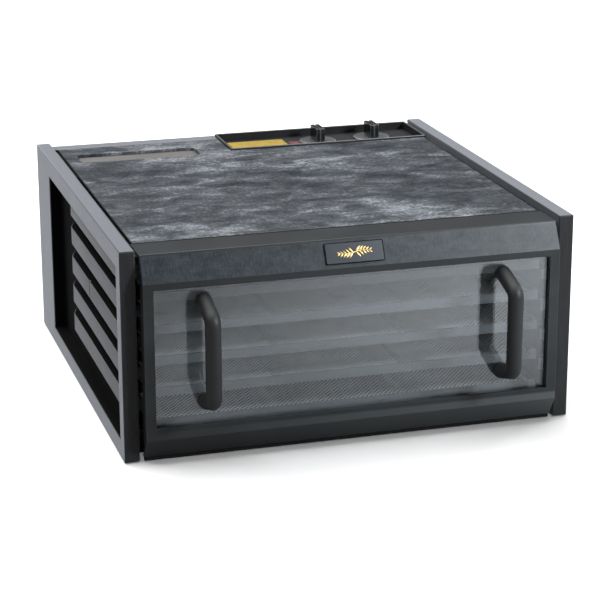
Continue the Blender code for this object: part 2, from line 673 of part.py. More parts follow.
def door_frame(door):
    """The bent skin with its two end caps and the opening that the pane closes from behind."""
    frame = piece("door_frame", prism_mesh(door_profile(), "x", -DOOR_HALF, DOOR_HALF), DOOR_PLASTIC, door)
    bevel(frame, 0.0007)
    end_profile = [(0.0020, CABINET_TOP - 0.0020), (DOOR_FACE + 0.0008, SLOPE_LOW),
                   (DOOR_FACE + 0.0008, CHIN_HIGH), (0.0010, DOOR_BOTTOM + 0.0020),
                   (0.0024, DOOR_BOTTOM + 0.0020), (0.0024, CABINET_TOP - 0.0020)]
    for side, name in ((-1, "left"), (1, "right")):
        end_cap = prism_mesh(end_profile, "x", side * (DOOR_HALF - 0.0030), side * (DOOR_HALF - 0.0004))
        join(frame, helper(f"door_{name}_end_cap", end_cap, door))
    cut(frame, helper("door_opening", box_mesh(((-OPENING_HALF, DOOR_FACE - 0.01, OPENING_LOW),
                                                (OPENING_HALF, 0.01, OPENING_HIGH))), door))


def handle_path(x, face):
    """From the upper foot, out to the grip, down it and back to the lower foot."""
    out = -HANDLE_REACH + HANDLE_RADIUS
    top = HANDLE_Z + HANDLE_FOOT
    low = HANDLE_Z - HANDLE_FOOT
    square = face - 0.003
    arc = rounded([(face, top, 0), (square, top, 0.004), (out, top - HANDLE_SPLAY, HANDLE_BEND),
                   (out, low + HANDLE_SPLAY, HANDLE_BEND), (square, low, 0.004), (face, low, 0)], 5)
    return [Vector((x, y, z)) for y, z in arc]


def door():
    door = anchor("door_lift", (0, 0, 0), CABINET)
    door_frame(door)
    pane_front = DOOR_FACE + DOOR_SKIN + GAP
    pane_half = OPENING_HALF + PANE_LAP
    pane = piece("door_window", box_mesh(((-pane_half, pane_front, OPENING_LOW - PANE_LAP),
                                          (pane_half, pane_front + PANE_THICK, OPENING_HIGH + PANE_LAP))),
                 PANE, door)
    screw_hole = 0.0023
    for side, name in ((-1, "left"), (1, "right")):
        bm = bmesh.new()
        add_tube(bm, handle_path(side * HANDLE_X, pane_front - GAP), HANDLE_RADIUS, 12)
        handle = piece(f"{name}_handle", bm, HANDLE_BLACK, door)
        for rise, end in ((HANDLE_FOOT, "upper"), (-HANDLE_FOOT, "lower")):
            place = (side * HANDLE_X, HANDLE_Z + rise)
            tapped = pane_front - 0.011
            inside = pane_front + PANE_THICK + GAP
            hole = helper(f"{name}_{end}_screw_hole",
                          spindle_mesh([(screw_hole, tapped), (screw_hole, 0.01)], place, "y",
                                       SCREW_ROUND), door)
            cut(handle, hole)
            cut(pane, hole)
            screw = [(0.0020, tapped + 0.0005), (0.0020, inside), (0.0040, inside),
                     (0.0040, inside + 0.0018), (0.0032, inside + 0.0024)]
            piece(f"{name}_handle_{end}_screw", spindle_mesh(screw, place, "y", SCREW_ROUND), STEEL, door)
    slope = Vector((0, DOOR_FACE, SLOPE_LOW - CABINET_TOP))
    middle = Vector((-0.001, 0, CABINET_TOP)) + slope / 2
    badge_thick = 0.0008
    outward = Vector((0, slope.z, -slope.y)).normalized()
    badge = piece("badge_plate", prism_mesh(rounded_rectangle((-0.028, -0.010), (0.028, 0.010), 0.0015, 3),
                                            "z", GAP, GAP + badge_thick), BADGE_BLACK, door)
    badge.location = middle
    badge.rotation_euler = (math.atan2(-outward.y, outward.z), 0, 0)


# ---- the trays -------------------------------------------------------------------------


def tray_meshes():
    """The tray's blank, its hollow, the windows in its base, and the screen that lies in it."""
    blank = mesh_from(box_mesh(((-TRAY_HALF, 0, 0), (TRAY_HALF, TRAY_LONG, TRAY_HIGH))), "tray_blank")
    inner = TRAY_HALF - TRAY_WALL
    base = 0.002
    hollow = mesh_from(box_mesh(((-inner, TRAY_WALL, base),
                                 (inner, TRAY_LONG - TRAY_WALL, TRAY_HIGH + 0.01))), "tray_hollow")
    windows = []
    wide = (2 * TRAY_HALF - TRAY_BAR) / TRAY_WINDOWS
    deep = (TRAY_LONG - TRAY_BAR) / TRAY_WINDOWS
    for column in range(TRAY_WINDOWS):
        for row in range(TRAY_WINDOWS):
            left = -TRAY_HALF + TRAY_BAR + column * wide
            front = TRAY_BAR + row * deep
            windows.append(((left, front, -0.01), (left + wide - TRAY_BAR, front + deep - TRAY_BAR, 0.005)))
    windows = mesh_from(box_mesh(*windows), "tray_windows")
    slack = 0.0005
    screen = mesh_from(box_mesh(((-inner + slack, TRAY_WALL + slack, base + GAP),
                                 (inner - slack, TRAY_LONG - TRAY_WALL - slack, base + GAP + SCREEN_THICK))),
                       "tray_screen")
    return blank, hollow, windows, screen


def trays():
    blank, hollow, windows, screen = tray_meshes()
    for number in range(1, TRAY_COUNT + 1):
        height = TRAY_TOP_Z - TRAY_PITCH * (number - 1)
        slide = anchor(f"tray_{number}_slide", (0, TRAY_FRONT, height), CABINET)
        tray = piece(f"tray_{number}", blank, TRAY_PLASTIC, slide)
        cut(tray, helper(f"tray_{number}_hollow", hollow, slide))
        cut(tray, helper(f"tray_{number}_windows", windows, slide))
        piece(f"screen_{number}", screen, SCREEN_PLASTIC, slide)


side_frame("left_side_frame", -1)
side_frame("right_side_frame", 1)
inner_wall("left_wall", -1)
inner_wall("right_wall", 1)
cabinet_floor()
cabinet_roof()
top_laminate()
back_panel()
cord_gland()
feet()
control_tray()
dial_label()
knob_set("timer", TIMER_AT)
knob_set("thermostat", THERMOSTAT_AT)
switch_body("timer_body", TIMER_AT, 0.017, 0)
switch_body("thermostat_body", THERMOSTAT_AT, 0.015, 0.0105)
fan_guard()
heater()
motor()
fan()
door()
trays()
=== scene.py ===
# %% [markdown]
# # A box-shaped food dehydrator
# This lesson dresses a finished mechanical model of a food dehydrator for its portrait. The
# model already has every solid part in its place. What it lacks is what the eye enjoys: the
# marbled slate top, the grained plastic, the clear door with trays behind it, the fine mesh
# that the fruit would lie on. Each cell makes one piece or one finish.

# %% The frame
import math

import bmesh
import bpy
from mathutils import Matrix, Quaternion, Vector


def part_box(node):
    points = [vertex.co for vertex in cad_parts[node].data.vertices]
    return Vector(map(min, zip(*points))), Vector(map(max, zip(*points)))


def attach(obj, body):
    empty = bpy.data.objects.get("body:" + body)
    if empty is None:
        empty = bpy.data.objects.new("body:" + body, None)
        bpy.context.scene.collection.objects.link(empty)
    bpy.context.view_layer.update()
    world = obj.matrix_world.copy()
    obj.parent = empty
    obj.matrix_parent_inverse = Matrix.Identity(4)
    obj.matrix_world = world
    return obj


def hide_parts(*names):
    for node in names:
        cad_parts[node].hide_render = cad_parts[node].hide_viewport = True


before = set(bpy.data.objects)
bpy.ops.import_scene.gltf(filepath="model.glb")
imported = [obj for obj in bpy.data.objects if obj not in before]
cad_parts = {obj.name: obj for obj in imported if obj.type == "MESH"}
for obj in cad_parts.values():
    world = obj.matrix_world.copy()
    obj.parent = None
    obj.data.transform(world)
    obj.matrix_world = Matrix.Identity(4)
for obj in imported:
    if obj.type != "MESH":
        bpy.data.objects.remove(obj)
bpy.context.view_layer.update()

# %% [markdown]
# A few short names for places. The front plane of the two side frames is the datum that the
# door, the trays and the handles are set out from, so it is read from the model once. Reading
# places instead of typing them keeps every piece where the mechanical model has it.

# %% Places
def middle(node):
    low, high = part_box(node)
    return (low + high) / 2


def extent(node):
    low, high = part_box(node)
    return high - low


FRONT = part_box("left_side_frame")[0].y
MM = 0.001
TRAYS = range(1, 6)
print("the side frames start at y =", round(FRONT, 4))

# %% [markdown]
# The camera stands to the left of the door and looks down on it a little, from far enough
# away that the long lens keeps the box's edges nearly parallel. It is placed by an angle round
# the object and an angle above the table, which is how a photographer would describe it.

# %% Camera
AIM = Vector((-0.0504, FRONT, 0.1412))
ROUND_ANGLE = math.radians(-16.437)
HEIGHT_ANGLE = math.radians(17.609)
LEAN = math.radians(-0.112)
STAND_BACK = 1.8825

backward = Vector((math.sin(ROUND_ANGLE) * math.cos(HEIGHT_ANGLE),
                   -math.cos(ROUND_ANGLE) * math.cos(HEIGHT_ANGLE), math.sin(HEIGHT_ANGLE)))
camera = bpy.data.objects.new("portrait_camera", bpy.data.cameras.new("portrait_camera"))
bpy.context.scene.collection.objects.link(camera)
camera.data.lens = 124.65
camera.data.sensor_width = 36
camera.location = AIM + backward * STAND_BACK
camera.rotation_mode = "QUATERNION"
camera.rotation_quaternion = (-backward).to_track_quat("-Z", "Y") @ Quaternion((0, 0, 1), LEAN)
bpy.context.scene.camera = camera
print("camera at", [round(v, 3) for v in camera.location])

# %% [markdown]
# Materials are made of nodes, and most of them want the same few: a place on the object, a
# cloud of noise, a range, a blend, a bump. These helpers keep the recipes short. `add` makes
# one node and fills its sockets, linking whatever is a socket and setting whatever is a value.
# Every recipe measures places in metres on the object, so a grain of half a millimetre is
# half a millimetre on every piece, and it stays put when the piece moves.

# %% Helpers for finishes
def add(tree, kind, settings=None, **sockets):
    made = tree.nodes.new("ShaderNode" + kind)
    for key, value in (settings or {}).items():
        setattr(made, key, value)
    for key, value in sockets.items():
        socket = made.inputs[key.replace("_", " ")]
        if isinstance(value, bpy.types.NodeSocket):
            tree.links.new(value, socket)
        else:
            socket.default_value = value
    return made


def place(tree, stretch=(1, 1, 1), turn=(0, 0, 0)):
    """The place on the object in metres, squeezed along some axes to stretch a pattern."""
    where = add(tree, "TexCoord").outputs["Object"]
    return add(tree, "Mapping", Vector=where, Scale=stretch, Rotation=turn).outputs["Vector"]


def cloud(tree, where, scale, detail=4.0, roughness=0.5, distortion=0.0):
    return add(tree, "TexNoise", Vector=where, Scale=scale, Detail=detail, Roughness=roughness,
               Distortion=distortion).outputs["Fac"]


def spread(tree, value, low, high, to_low, to_high):
    """Maps a range of one value to a range of another."""
    return add(tree, "MapRange", Value=value, **{"From_Min": low, "From_Max": high, "To_Min": to_low,
                                                 "To_Max": to_high}).outputs["Result"]


def blend(tree, factor, first, second):
    made = add(tree, "Mix", {"data_type": "RGBA"})
    for index, value in ((0, factor), (6, first), (7, second)):
        if isinstance(value, bpy.types.NodeSocket):
            tree.links.new(value, made.inputs[index])
        else:
            made.inputs[index].default_value = value if index == 0 else (*value, 1)
    return made.outputs[2]


def shades(tree, value, stops):
    """A run of colours along a value. Each stop is (position, colour)."""
    made = add(tree, "ValToRGB", Fac=value)
    ramp = made.color_ramp
    while len(ramp.elements) < len(stops):
        ramp.elements.new(0.5)
    for element, (position, colour) in zip(ramp.elements, stops):
        element.position = position
        element.color = (*colour, 1)
    return made.outputs["Color"]


def relief(tree, height, depth):
    made = add(tree, "Bump", Height=height, Distance=depth, Strength=1.0)
    return made.outputs["Normal"]


def combine(tree, operation, *values):
    made = add(tree, "Math", {"operation": operation})
    for socket, value in zip(made.inputs, values):
        if isinstance(value, bpy.types.NodeSocket):
            tree.links.new(value, socket)
        else:
            socket.default_value = value
    return made.outputs[0]


def finish(name, colour, roughness, gloss=0.3, metal=0.0):
    """A material with its Principled shader, and that shader's plain values."""
    made = bpy.data.materials.new(name)
    made.use_nodes = True
    shader = made.node_tree.nodes["Principled BSDF"]
    shader.inputs["Base Color"].default_value = (*colour, 1)
    shader.inputs["Roughness"].default_value = roughness
    shader.inputs["Specular IOR Level"].default_value = gloss
    shader.inputs["Metallic"].default_value = metal
    return made, made.node_tree, shader


def feed(tree, shader, **sockets):
    for key, value in sockets.items():
        tree.links.new(value, shader.inputs[key.replace("_", " ")])


print("helpers ready")

# %% [markdown]
# Most of the machine is moulded plastic. A moulded face is never one flat colour: its texture
# comes from the steel mould and its gloss drifts where the plastic cooled unevenly. The recipe
# has three parts: a fine relief, a slow drift in colour and gloss, and paler edges, a painted
# highlight for the light that corners catch, found with a Bevel node, which compares the true
# normal with a rounded one. The roof is one part with two tones: pale at the back, where the
# laminate's pocket leaves it bare, and dark in front, beneath the door.

# %% Moulded plastic
def painted_edge_highlight(tree, colour, pale, reach, strength):
    """Paints a highlight on edges: mixes in a paler colour where a rounded normal differs from the true
    one.
    """
    soft = add(tree, "Bevel", {"samples": 4}, Radius=reach).outputs["Normal"]
    true = add(tree, "NewGeometry").outputs["Normal"]
    alike = add(tree, "VectorMath", {"operation": "DOT_PRODUCT"})
    tree.links.new(soft, alike.inputs[0])
    tree.links.new(true, alike.inputs[1])
    edge = spread(tree, alike.outputs["Value"], 0.995, 0.90, 0.0, strength)
    return blend(tree, edge, colour, pale)


def moulded(name, colour, roughness, gloss=0.3, grain=1400, depth=0.04 * MM, drift=0.22,
            edges=0.0, edge_highlight_colour=(0.10, 0.10, 0.105)):
    made, tree, shader = finish(name, colour, roughness, gloss)
    slow = cloud(tree, place(tree), 14, 3, 0.6)
    fine = cloud(tree, place(tree), grain, 3, 0.6)
    dark = tuple(c * (1 - drift) for c in colour)
    light = tuple(c * (1 + drift) for c in colour)
    tone = blend(tree, spread(tree, slow, 0.3, 0.7, 0, 1), dark, light)
    tone = blend(tree, spread(tree, fine, 0.35, 0.75, 0, 0.35), tone, tuple(c * 1.9 for c in colour))
    if edges:
        # Painted highlight: the edges are mixed towards the edge highlight colour.
        tone = painted_edge_highlight(tree, tone, edge_highlight_colour, 0.9 * MM, edges)
    feed(tree, shader, Base_Color=tone, Normal=relief(tree, fine, depth),
         Roughness=spread(tree, slow, 0.3, 0.7, roughness - 0.05, roughness + 0.05))
    return made


INNER = moulded("inner_wall", (0.007, 0.0073, 0.008), 0.6, 0.12, 1200)
SWITCH_CREAM = moulded("cream_switch_body", (0.58, 0.55, 0.47), 0.5, 0.3, 700)
CAP_GREY = moulded("shelf_cap_grey", (0.22, 0.235, 0.245), 0.35, 0.4, 900)
HANDLE_BLACK = moulded("handle_black", (0.011, 0.0115, 0.012), 0.50, 0.32, 1600, 0.03 * MM)
TRAY_GREY = moulded("tray_grey", (0.125, 0.135, 0.143), 0.48, 0.3, 900, 0.03 * MM, drift=0.12)
RUBBER = moulded("foot_rubber", (0.014, 0.014, 0.014), 0.85, 0.2, 500, 0.10 * MM)
ROOF_DARK = (0.007, 0.0073, 0.008)
POCKET_Y = FRONT + 300 * MM


def roof_plastic(name):
    """Pale towards the back, where the laminate's pocket leaves the roof bare, dark in front."""
    made = moulded(name, (0.105, 0.102, 0.098), 0.6, 0.1, 1200)
    tree = made.node_tree
    colour = tree.nodes["Principled BSDF"].inputs["Base Color"]
    pale = colour.links[0].from_socket
    inward = add(tree, "SeparateXYZ", Vector=place(tree)).outputs["Y"]
    bare = spread(tree, inward, POCKET_Y, POCKET_Y + MM, 0, 1)
    tree.links.new(blend(tree, bare, ROOF_DARK, pale), colour)
    return made


POCKET = roof_plastic("pocket_floor")
print("materials so far:", len(bpy.data.materials))

# %% [markdown]
# The two side frames carry a coarser texture than the rest, a fine pebble that scatters light
# at a low angle, so their outer faces and top edges shine a pale grey while the faces that
# look at the viewer stay nearly black. The Sheen setting does just that: it adds brightness
# towards grazing views only. Sheen alone left the top edges too dark, so faces that look
# upwards get a paler tint, by a MapRange on the normal's height. That tint stands in for light
# and isn't a colour of the plastic. The edges get a painted highlight as well, strongest on the
# ribs, where it draws a bright line along each rib. The bottom of the hollow between the ribs,
# and the flat top and under faces of the ribs, get a plain recipe of their own, nearly black:
# painted shade, because little light reaches them.

# %% Side frame plastic
OUTER_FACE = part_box("right_side_frame")[1].x
TOP_TINT = 0.6


def frame_plastic(name, sheen, edges, pale):
    made, tree, shader = finish(name, (0.02, 0.02, 0.022), 0.52, 0.22)
    shader.inputs["Sheen Weight"].default_value = sheen
    shader.inputs["Sheen Roughness"].default_value = 0.35
    shader.inputs["Sheen Tint"].default_value = (0.82, 0.86, 0.95, 1)
    pebble = cloud(tree, place(tree), 700, 4, 0.7)
    upright = cloud(tree, place(tree, (1, 1, 0.12)), 420, 3, 0.6)
    slow = cloud(tree, place(tree), 11, 3, 0.6)
    grain = combine(tree, "ADD", pebble, combine(tree, "MULTIPLY", upright, 0.6))
    tone = blend(tree, spread(tree, slow, 0.3, 0.7, 0, 1), (0.011, 0.0112, 0.0125),
                 (0.017, 0.0175, 0.019))
    tone = blend(tree, spread(tree, grain, 0.75, 1.15, 0, 0.6), tone, (0.034, 0.035, 0.038))
    facing = add(tree, "SeparateXYZ", Vector=add(tree, "NewGeometry").outputs["Normal"])
    upward = spread(tree, facing.outputs["Z"], 0.85, 0.98, 0, TOP_TINT)
    tone = blend(tree, upward, tone, (0.12, 0.123, 0.133))
    # Painted highlight along the edges, strongest on the ribs.
    tone = painted_edge_highlight(tree, tone, pale, 1.3 * MM, edges)
    feed(tree, shader, Base_Color=tone, Normal=relief(tree, grain, 0.09 * MM),
         Roughness=spread(tree, slow, 0.3, 0.7, 0.47, 0.56))
    return made


CHARCOAL = frame_plastic("charcoal_frame", 0.62, 0.5, (0.16, 0.165, 0.175))
RIB_GREY = frame_plastic("charcoal_rib", 0.26, 1.0, (0.36, 0.37, 0.385))
# Painted shade: a nearly black finish for the hollow and for the ribs' flat top and under faces.
HOLLOW_SHADE = moulded("frame_hollow_shade", (0.003, 0.003, 0.0033), 0.8, 0.04, 900)
print("side faces at x = +/-", round(OUTER_FACE, 4))

# %% [markdown]
# The top is covered with a slate-look laminate: a dark blue-grey sheet printed with cloudy
# streaks that run across the machine, under a fine linen-like emboss. Stretching a noise in
# the width gives streaks. A second, broader cloud decides where they gather, and two thin
# grids of waves a millimetre apart give the emboss, which breaks up the sheen from above.

# %% Slate laminate
def linen(tree, pitch):
    """Two crossed sets of ridges that stand on the sheet a pitch apart."""
    ways = []
    for turn in (0.5, -0.9):
        made = add(tree, "TexWave", {"wave_type": "BANDS", "bands_direction": "X"},
                   Vector=place(tree, turn=(0, 0, turn)), Scale=0.314 / pitch, Distortion=2.0,
                   Detail=2.0, Detail_Scale=1.5)
        ways.append(made.outputs["Fac"])
    return combine(tree, "MULTIPLY", *ways)


def laminate_edge(tree):
    """One on the dark line where the sheet is trimmed, and nought inside it."""
    low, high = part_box("top_laminate")
    where = add(tree, "SeparateXYZ", Vector=place(tree))
    across = spread(tree, combine(tree, "ABSOLUTE", where.outputs["X"]), high.x - 1.6 * MM,
                    high.x - 0.9 * MM, 0, 1)
    front = spread(tree, where.outputs["Y"], low.y + 1.0 * MM, low.y + 1.8 * MM, 1, 0)
    return combine(tree, "MAXIMUM", across, front)


def slate(name):
    made, tree, shader = finish(name, (0.06, 0.066, 0.074), 0.5, 0.06)
    puffs = cloud(tree, place(tree, (24, 44, 24), (0, 0, 0.25)), 1.0, 9, 0.72, 0.55)
    gather = cloud(tree, place(tree, (8, 15, 8), (0, 0, -0.2)), 1.0, 3, 0.55, 0.3)
    crumbs = cloud(tree, place(tree, (1, 1.3, 1)), 300, 4, 0.85)
    weight = combine(tree, "ADD", combine(tree, "MULTIPLY", puffs, 0.66),
                     combine(tree, "MULTIPLY", gather, 0.34))
    weight = combine(tree, "ADD", weight, spread(tree, crumbs, 0.3, 0.7, -0.10, 0.10))
    tone = shades(tree, weight, [(0.35, (0.010, 0.0118, 0.0145)), (0.46, (0.035, 0.039, 0.044)),
                                 (0.55, (0.073, 0.079, 0.088)), (0.65, (0.23, 0.243, 0.26))])
    tone = blend(tree, laminate_edge(tree), tone, (0.004, 0.004, 0.005))
    height = combine(tree, "ADD", linen(tree, 1.1 * MM), crumbs)
    feed(tree, shader, Base_Color=tone, Normal=relief(tree, height, 0.06 * MM),
         Roughness=spread(tree, puffs, 0.3, 0.7, 0.46, 0.56))
    return made


SLATE = slate("slate_laminate")
print("the laminate is", round(extent("top_laminate").x * 1000), "mm across")

# %% [markdown]
# The door is one moulding, but its mould was polished along the top strip and grained on the
# sloping fascia below it, where upright brush-like lines show. The same plastic can wear both
# finishes if the material asks how high it is: a MapRange on the height fades the grain in
# below the strip and out again towards the smooth frame round the window. The rail under the
# window has a paler tint that grows to the right. It stands in for light thrown up from the
# table, and isn't a colour of the plastic.

# %% Door plastic
DOOR_LOW, DOOR_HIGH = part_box("door_frame")
STRIP_Z = DOOR_HIGH.z - 0.002
SLOPE_Z = DOOR_HIGH.z - 0.024
RAIL_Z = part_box("door_window")[0].z
RAIL_TINT = (0.05, 0.90)


def door_plastic(name):
    made, tree, shader = finish(name, (0.020, 0.022, 0.024), 0.36, 0.23)
    height = add(tree, "SeparateXYZ", Vector=place(tree)).outputs["Z"]
    fascia = combine(tree, "MULTIPLY", spread(tree, height, SLOPE_Z - 0.001, SLOPE_Z + 0.001, 0, 1),
                     spread(tree, height, STRIP_Z, STRIP_Z + 0.001, 1, 0))
    lines = cloud(tree, place(tree, (1, 0.12, 0.12)), 1500, 3, 0.7)
    grain = cloud(tree, place(tree, (1, 1, 0.5)), 900, 4, 0.7)
    slow = cloud(tree, place(tree, (1, 1, 2)), 12, 3, 0.6)
    tone = blend(tree, spread(tree, slow, 0.3, 0.7, 0, 1), (0.015, 0.0168, 0.018),
                 (0.025, 0.0277, 0.0297))
    mottle = cloud(tree, place(tree, (1, 1.6, 1.6)), 70, 6, 0.75)
    weave = combine(tree, "ADD", combine(tree, "MULTIPLY", lines, 0.5),
                    combine(tree, "MULTIPLY", mottle, 0.5))
    brushed = blend(tree, spread(tree, weave, 0.36, 0.64, 0, 1), (0.004, 0.0056, 0.0076),
                    (0.035, 0.0435, 0.053))
    tone = blend(tree, fascia, tone, brushed)
    rail = spread(tree, height, RAIL_Z - 0.001, RAIL_Z + 0.001, 1, 0)
    across = spread(tree, add(tree, "SeparateXYZ", Vector=place(tree)).outputs["X"],
                    DOOR_LOW.x, DOOR_HIGH.x, *RAIL_TINT)
    tone = blend(tree, combine(tree, "MULTIPLY", rail, across), tone, (0.070, 0.077, 0.080))
    # Painted highlight along the door's edges.
    tone = painted_edge_highlight(tree, tone, (0.10, 0.105, 0.11), 0.8 * MM, 0.35)
    depth = combine(tree, "ADD", combine(tree, "MULTIPLY", lines, fascia),
                    combine(tree, "MULTIPLY", grain, 0.35))
    feed(tree, shader, Base_Color=tone, Normal=relief(tree, depth, 0.045 * MM),
         Roughness=spread(tree, fascia, 0, 1, 0.33, 0.42))
    return made


DOOR = door_plastic("door_plastic")
print("the fascia slopes from z =", round(SLOPE_Z, 3), "to", round(STRIP_Z, 3))

# %% [markdown]
# The window is a clear acrylic sheet. What makes it read as a window is what it mirrors: the
# pale table in front hangs over the trays like a thin milk veil, and the handles show as dark
# ghosts. A true glass shader would also bend light, which a flat sheet hardly does, and it
# would keep the studio light out. So the sheet mixes a lightly tinted Transparent shader with
# a Glossy one. The share of gloss grows towards a grazing view. A little haze is mixed in for
# the fine scratches that a wiped window collects.

# %% Window acrylic
def acrylic(name):
    made = bpy.data.materials.new(name)
    made.use_nodes = True
    tree = made.node_tree
    tree.nodes.remove(tree.nodes["Principled BSDF"])
    tint = cloud(tree, place(tree), 6, 2)
    through = add(tree, "BsdfTransparent",
                  Color=blend(tree, tint, (0.86, 0.875, 0.885), (0.90, 0.91, 0.915)))
    wiped = cloud(tree, place(tree, (1, 1, 3), (0, 0.3, 0)), 30, 4, 0.6)
    haze = add(tree, "BsdfDiffuse", Color=(0.60, 0.64, 0.67, 1))
    mirror = add(tree, "BsdfGlossy", Color=(0.93, 0.96, 1.0, 1),
                 Roughness=spread(tree, wiped, 0.3, 0.7, 0.02, 0.035))
    facing = add(tree, "LayerWeight", Blend=0.5).outputs["Facing"]
    share = combine(tree, "ADD", combine(tree, "POWER", facing, 4.5), 0.070)
    veil = add(tree, "MixShader", Fac=spread(tree, wiped, 0.35, 0.7, 0.006, 0.016))
    tree.links.new(through.outputs["BSDF"], veil.inputs[1])
    tree.links.new(haze.outputs["BSDF"], veil.inputs[2])
    both = add(tree, "MixShader", Fac=share)
    tree.links.new(veil.outputs["Shader"], both.inputs[1])
    tree.links.new(mirror.outputs["BSDF"], both.inputs[2])
    tree.links.new(both.outputs["Shader"], tree.nodes["Material Output"].inputs["Surface"])
    return made


WINDOW = acrylic("window_acrylic")
print("the window is", round(extent("door_window").y * 1000, 1), "mm thick")

# %% [markdown]
# Metal shows in a few small places: steel shafts and screws, the aluminium fan, the copper
# coil, bronze bearings and the heating wire. Each is the same recipe with its own colour, a
# turned or drawn grain, and a stain that drifts over it slowly, as handled metal has.

# %% Metals
def metal(name, colour, roughness, grain=600, stretch=(1, 1, 1), stain=0.3):
    made, tree, shader = finish(name, colour, roughness, 0.5, 1.0)
    fine = cloud(tree, place(tree, stretch), grain, 4, 0.6)
    slow = cloud(tree, place(tree), 55, 4, 0.65)
    dull = tuple(c * (1 - stain) for c in colour)
    tone = blend(tree, spread(tree, slow, 0.4, 0.75, 0, 1), colour, dull)
    feed(tree, shader, Base_Color=tone, Normal=relief(tree, fine, 0.02 * MM),
         Roughness=spread(tree, slow, 0.3, 0.7, roughness, roughness + 0.15))
    return made


STEEL = metal("bright_steel", (0.58, 0.585, 0.59), 0.26)
COPPER = metal("copper_wire", (0.62, 0.27, 0.13), 0.30, 900)
BRONZE = metal("bearing_bronze", (0.52, 0.36, 0.17), 0.34)
ALUMINIUM = metal("fan_aluminium", (0.66, 0.67, 0.68), 0.30, 500, (1, 1, 0.15))
HEATER = metal("heater_steel", (0.30, 0.25, 0.21), 0.42, 700, (1, 1, 1), 0.5)
GOLD = metal("ornament_gold", (0.66, 0.48, 0.20), 0.28, 1500, (1, 1, 1), 0.15)
print("metals:", [made.name for made in (STEEL, COPPER, BRONZE, ALUMINIUM, HEATER, GOLD)])

# %% [markdown]
# The timer and the thermostat sit in a black tray beside a small printed card. The card has a
# yellow band and a coppery band, with rows of short dark bars standing in for its printing.
# The bars come from a Brick texture with wide mortar. Two dabs of the same inks show on
# the tray's floor beside the timer, so the tray's plastic asks for its own places too.

# %% Printed card and dial finishes
CARD_LOW, CARD_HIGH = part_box("dial_label")
CARD = CARD_HIGH - CARD_LOW


def printed_card(name):
    made, tree, shader = finish(name, (0.7, 0.45, 0.08), 0.5, 0.35)
    where = add(tree, "SeparateXYZ", Vector=place(tree))
    across = spread(tree, where.outputs["X"], CARD_LOW.x, CARD_HIGH.x, 0, 1)
    along = spread(tree, where.outputs["Y"], CARD_LOW.y, CARD_HIGH.y, 0, 1)
    flat = add(tree, "CombineXYZ", X=across, Y=along).outputs["Vector"]
    bars = add(tree, "TexBrick", {"offset": 0.37, "squash": 0.6, "squash_frequency": 3},
               Vector=flat, Scale=1.0, Brick_Width=0.17, Row_Height=0.085, Mortar_Size=0.026)
    bars.inputs["Color1"].default_value = (1, 1, 1, 1)
    bars.inputs["Color2"].default_value = (0.35, 0.35, 0.35, 1)
    bars.inputs["Mortar"].default_value = (0, 0, 0, 1)
    patches = cloud(tree, place(tree), 90, 2)
    yellow = blend(tree, patches, (0.32, 0.25, 0.011), (0.29, 0.17, 0.02))
    copper = blend(tree, patches, (0.33, 0.15, 0.055), (0.27, 0.14, 0.10))
    paper = blend(tree, spread(tree, along, 0.44, 0.50, 0, 1), copper, yellow)
    printed = combine(tree, "MULTIPLY", bars.outputs["Color"],
                      spread(tree, patches, 0.42, 0.50, 0.15, 0.85))
    tone = blend(tree, printed, paper, (0.16, 0.07, 0.03))
    feed(tree, shader, Base_Color=tone)
    return made


def dab(tree, where, low, high):
    """One inside a small rectangle on the tray's floor, with ragged edges."""
    ragged = spread(tree, cloud(tree, place(tree), 260, 3), 0.35, 0.5, 0, 1)
    for axis, (start, end) in zip(("X", "Y"), zip(low, high)):
        value = where.outputs[axis]
        ragged = combine(tree, "MULTIPLY", ragged, spread(tree, value, start, start + 2 * MM, 0, 1))
        ragged = combine(tree, "MULTIPLY", ragged, spread(tree, value, end - 2 * MM, end, 1, 0))
    return ragged


def control_plastic(name):
    made, tree, shader = finish(name, (0.012, 0.012, 0.013), 0.38, 0.14)
    where = add(tree, "SeparateXYZ", Vector=place(tree))
    slow = cloud(tree, place(tree), 18, 3, 0.6)
    fine = cloud(tree, place(tree), 1300, 3, 0.6)
    tone = blend(tree, slow, (0.006, 0.006, 0.0065), (0.034, 0.034, 0.035))
    pink = dab(tree, where, (54 * MM, FRONT + 366 * MM), (74 * MM, FRONT + 404 * MM))
    tone = blend(tree, combine(tree, "MULTIPLY", pink, 0.7), tone, (0.22, 0.075, 0.075))
    yellow = dab(tree, where, (104 * MM, FRONT + 366 * MM), (112 * MM, FRONT + 386 * MM))
    tone = blend(tree, yellow, tone, (0.42, 0.36, 0.05))
    feed(tree, shader, Base_Color=tone, Normal=relief(tree, fine, 0.03 * MM))
    return made


LABEL = printed_card("printed_card")
CONTROL_BLACK = control_plastic("control_tray_black")
# Painted highlight: the pale grey of the control tray's rim rod.
RIM_HIGHLIGHT_GREY = moulded("control_rim_painted_highlight", (0.12, 0.125, 0.13), 0.45, 0.4, 900, 0.02 * MM)
# The dial rims and the grip edges get a painted highlight in their pale edge colours.
DIAL_GREY = moulded("dial_grey", (0.085, 0.088, 0.092), 0.14, 0.5, 700, 0.01 * MM, drift=0.15,
                    edges=1.0, edge_highlight_colour=(0.40, 0.41, 0.42))
KNOB_BLACK = moulded("knob_black", (0.012, 0.0125, 0.013), 0.12, 0.55, 900, 0.01 * MM, drift=0.15,
                     edges=0.8, edge_highlight_colour=(0.25, 0.25, 0.26))
BADGE_BLACK = moulded("badge_black", (0.003, 0.003, 0.0035), 0.5, 0.1, 900, 0.01 * MM)
BADGE_BLUE = moulded("badge_blue_black", (0.024, 0.030, 0.037), 0.35, 0.3, 900, 0.02 * MM)
SCREEN_CLEAR = moulded("screen_plastic", (0.60, 0.61, 0.615), 0.5, 0.3, 1200, 0.02 * MM)
print("the card is", [round(v * 1000) for v in CARD.xy], "mm")

# %% [markdown]
# Every part that keeps its modelled shape now gets its finish. The parts are listed by finish,
# so one loop can hand the materials out. A part that is rebuilt further on is in the list as
# well, because its rebuilt shape asks for the same finish.

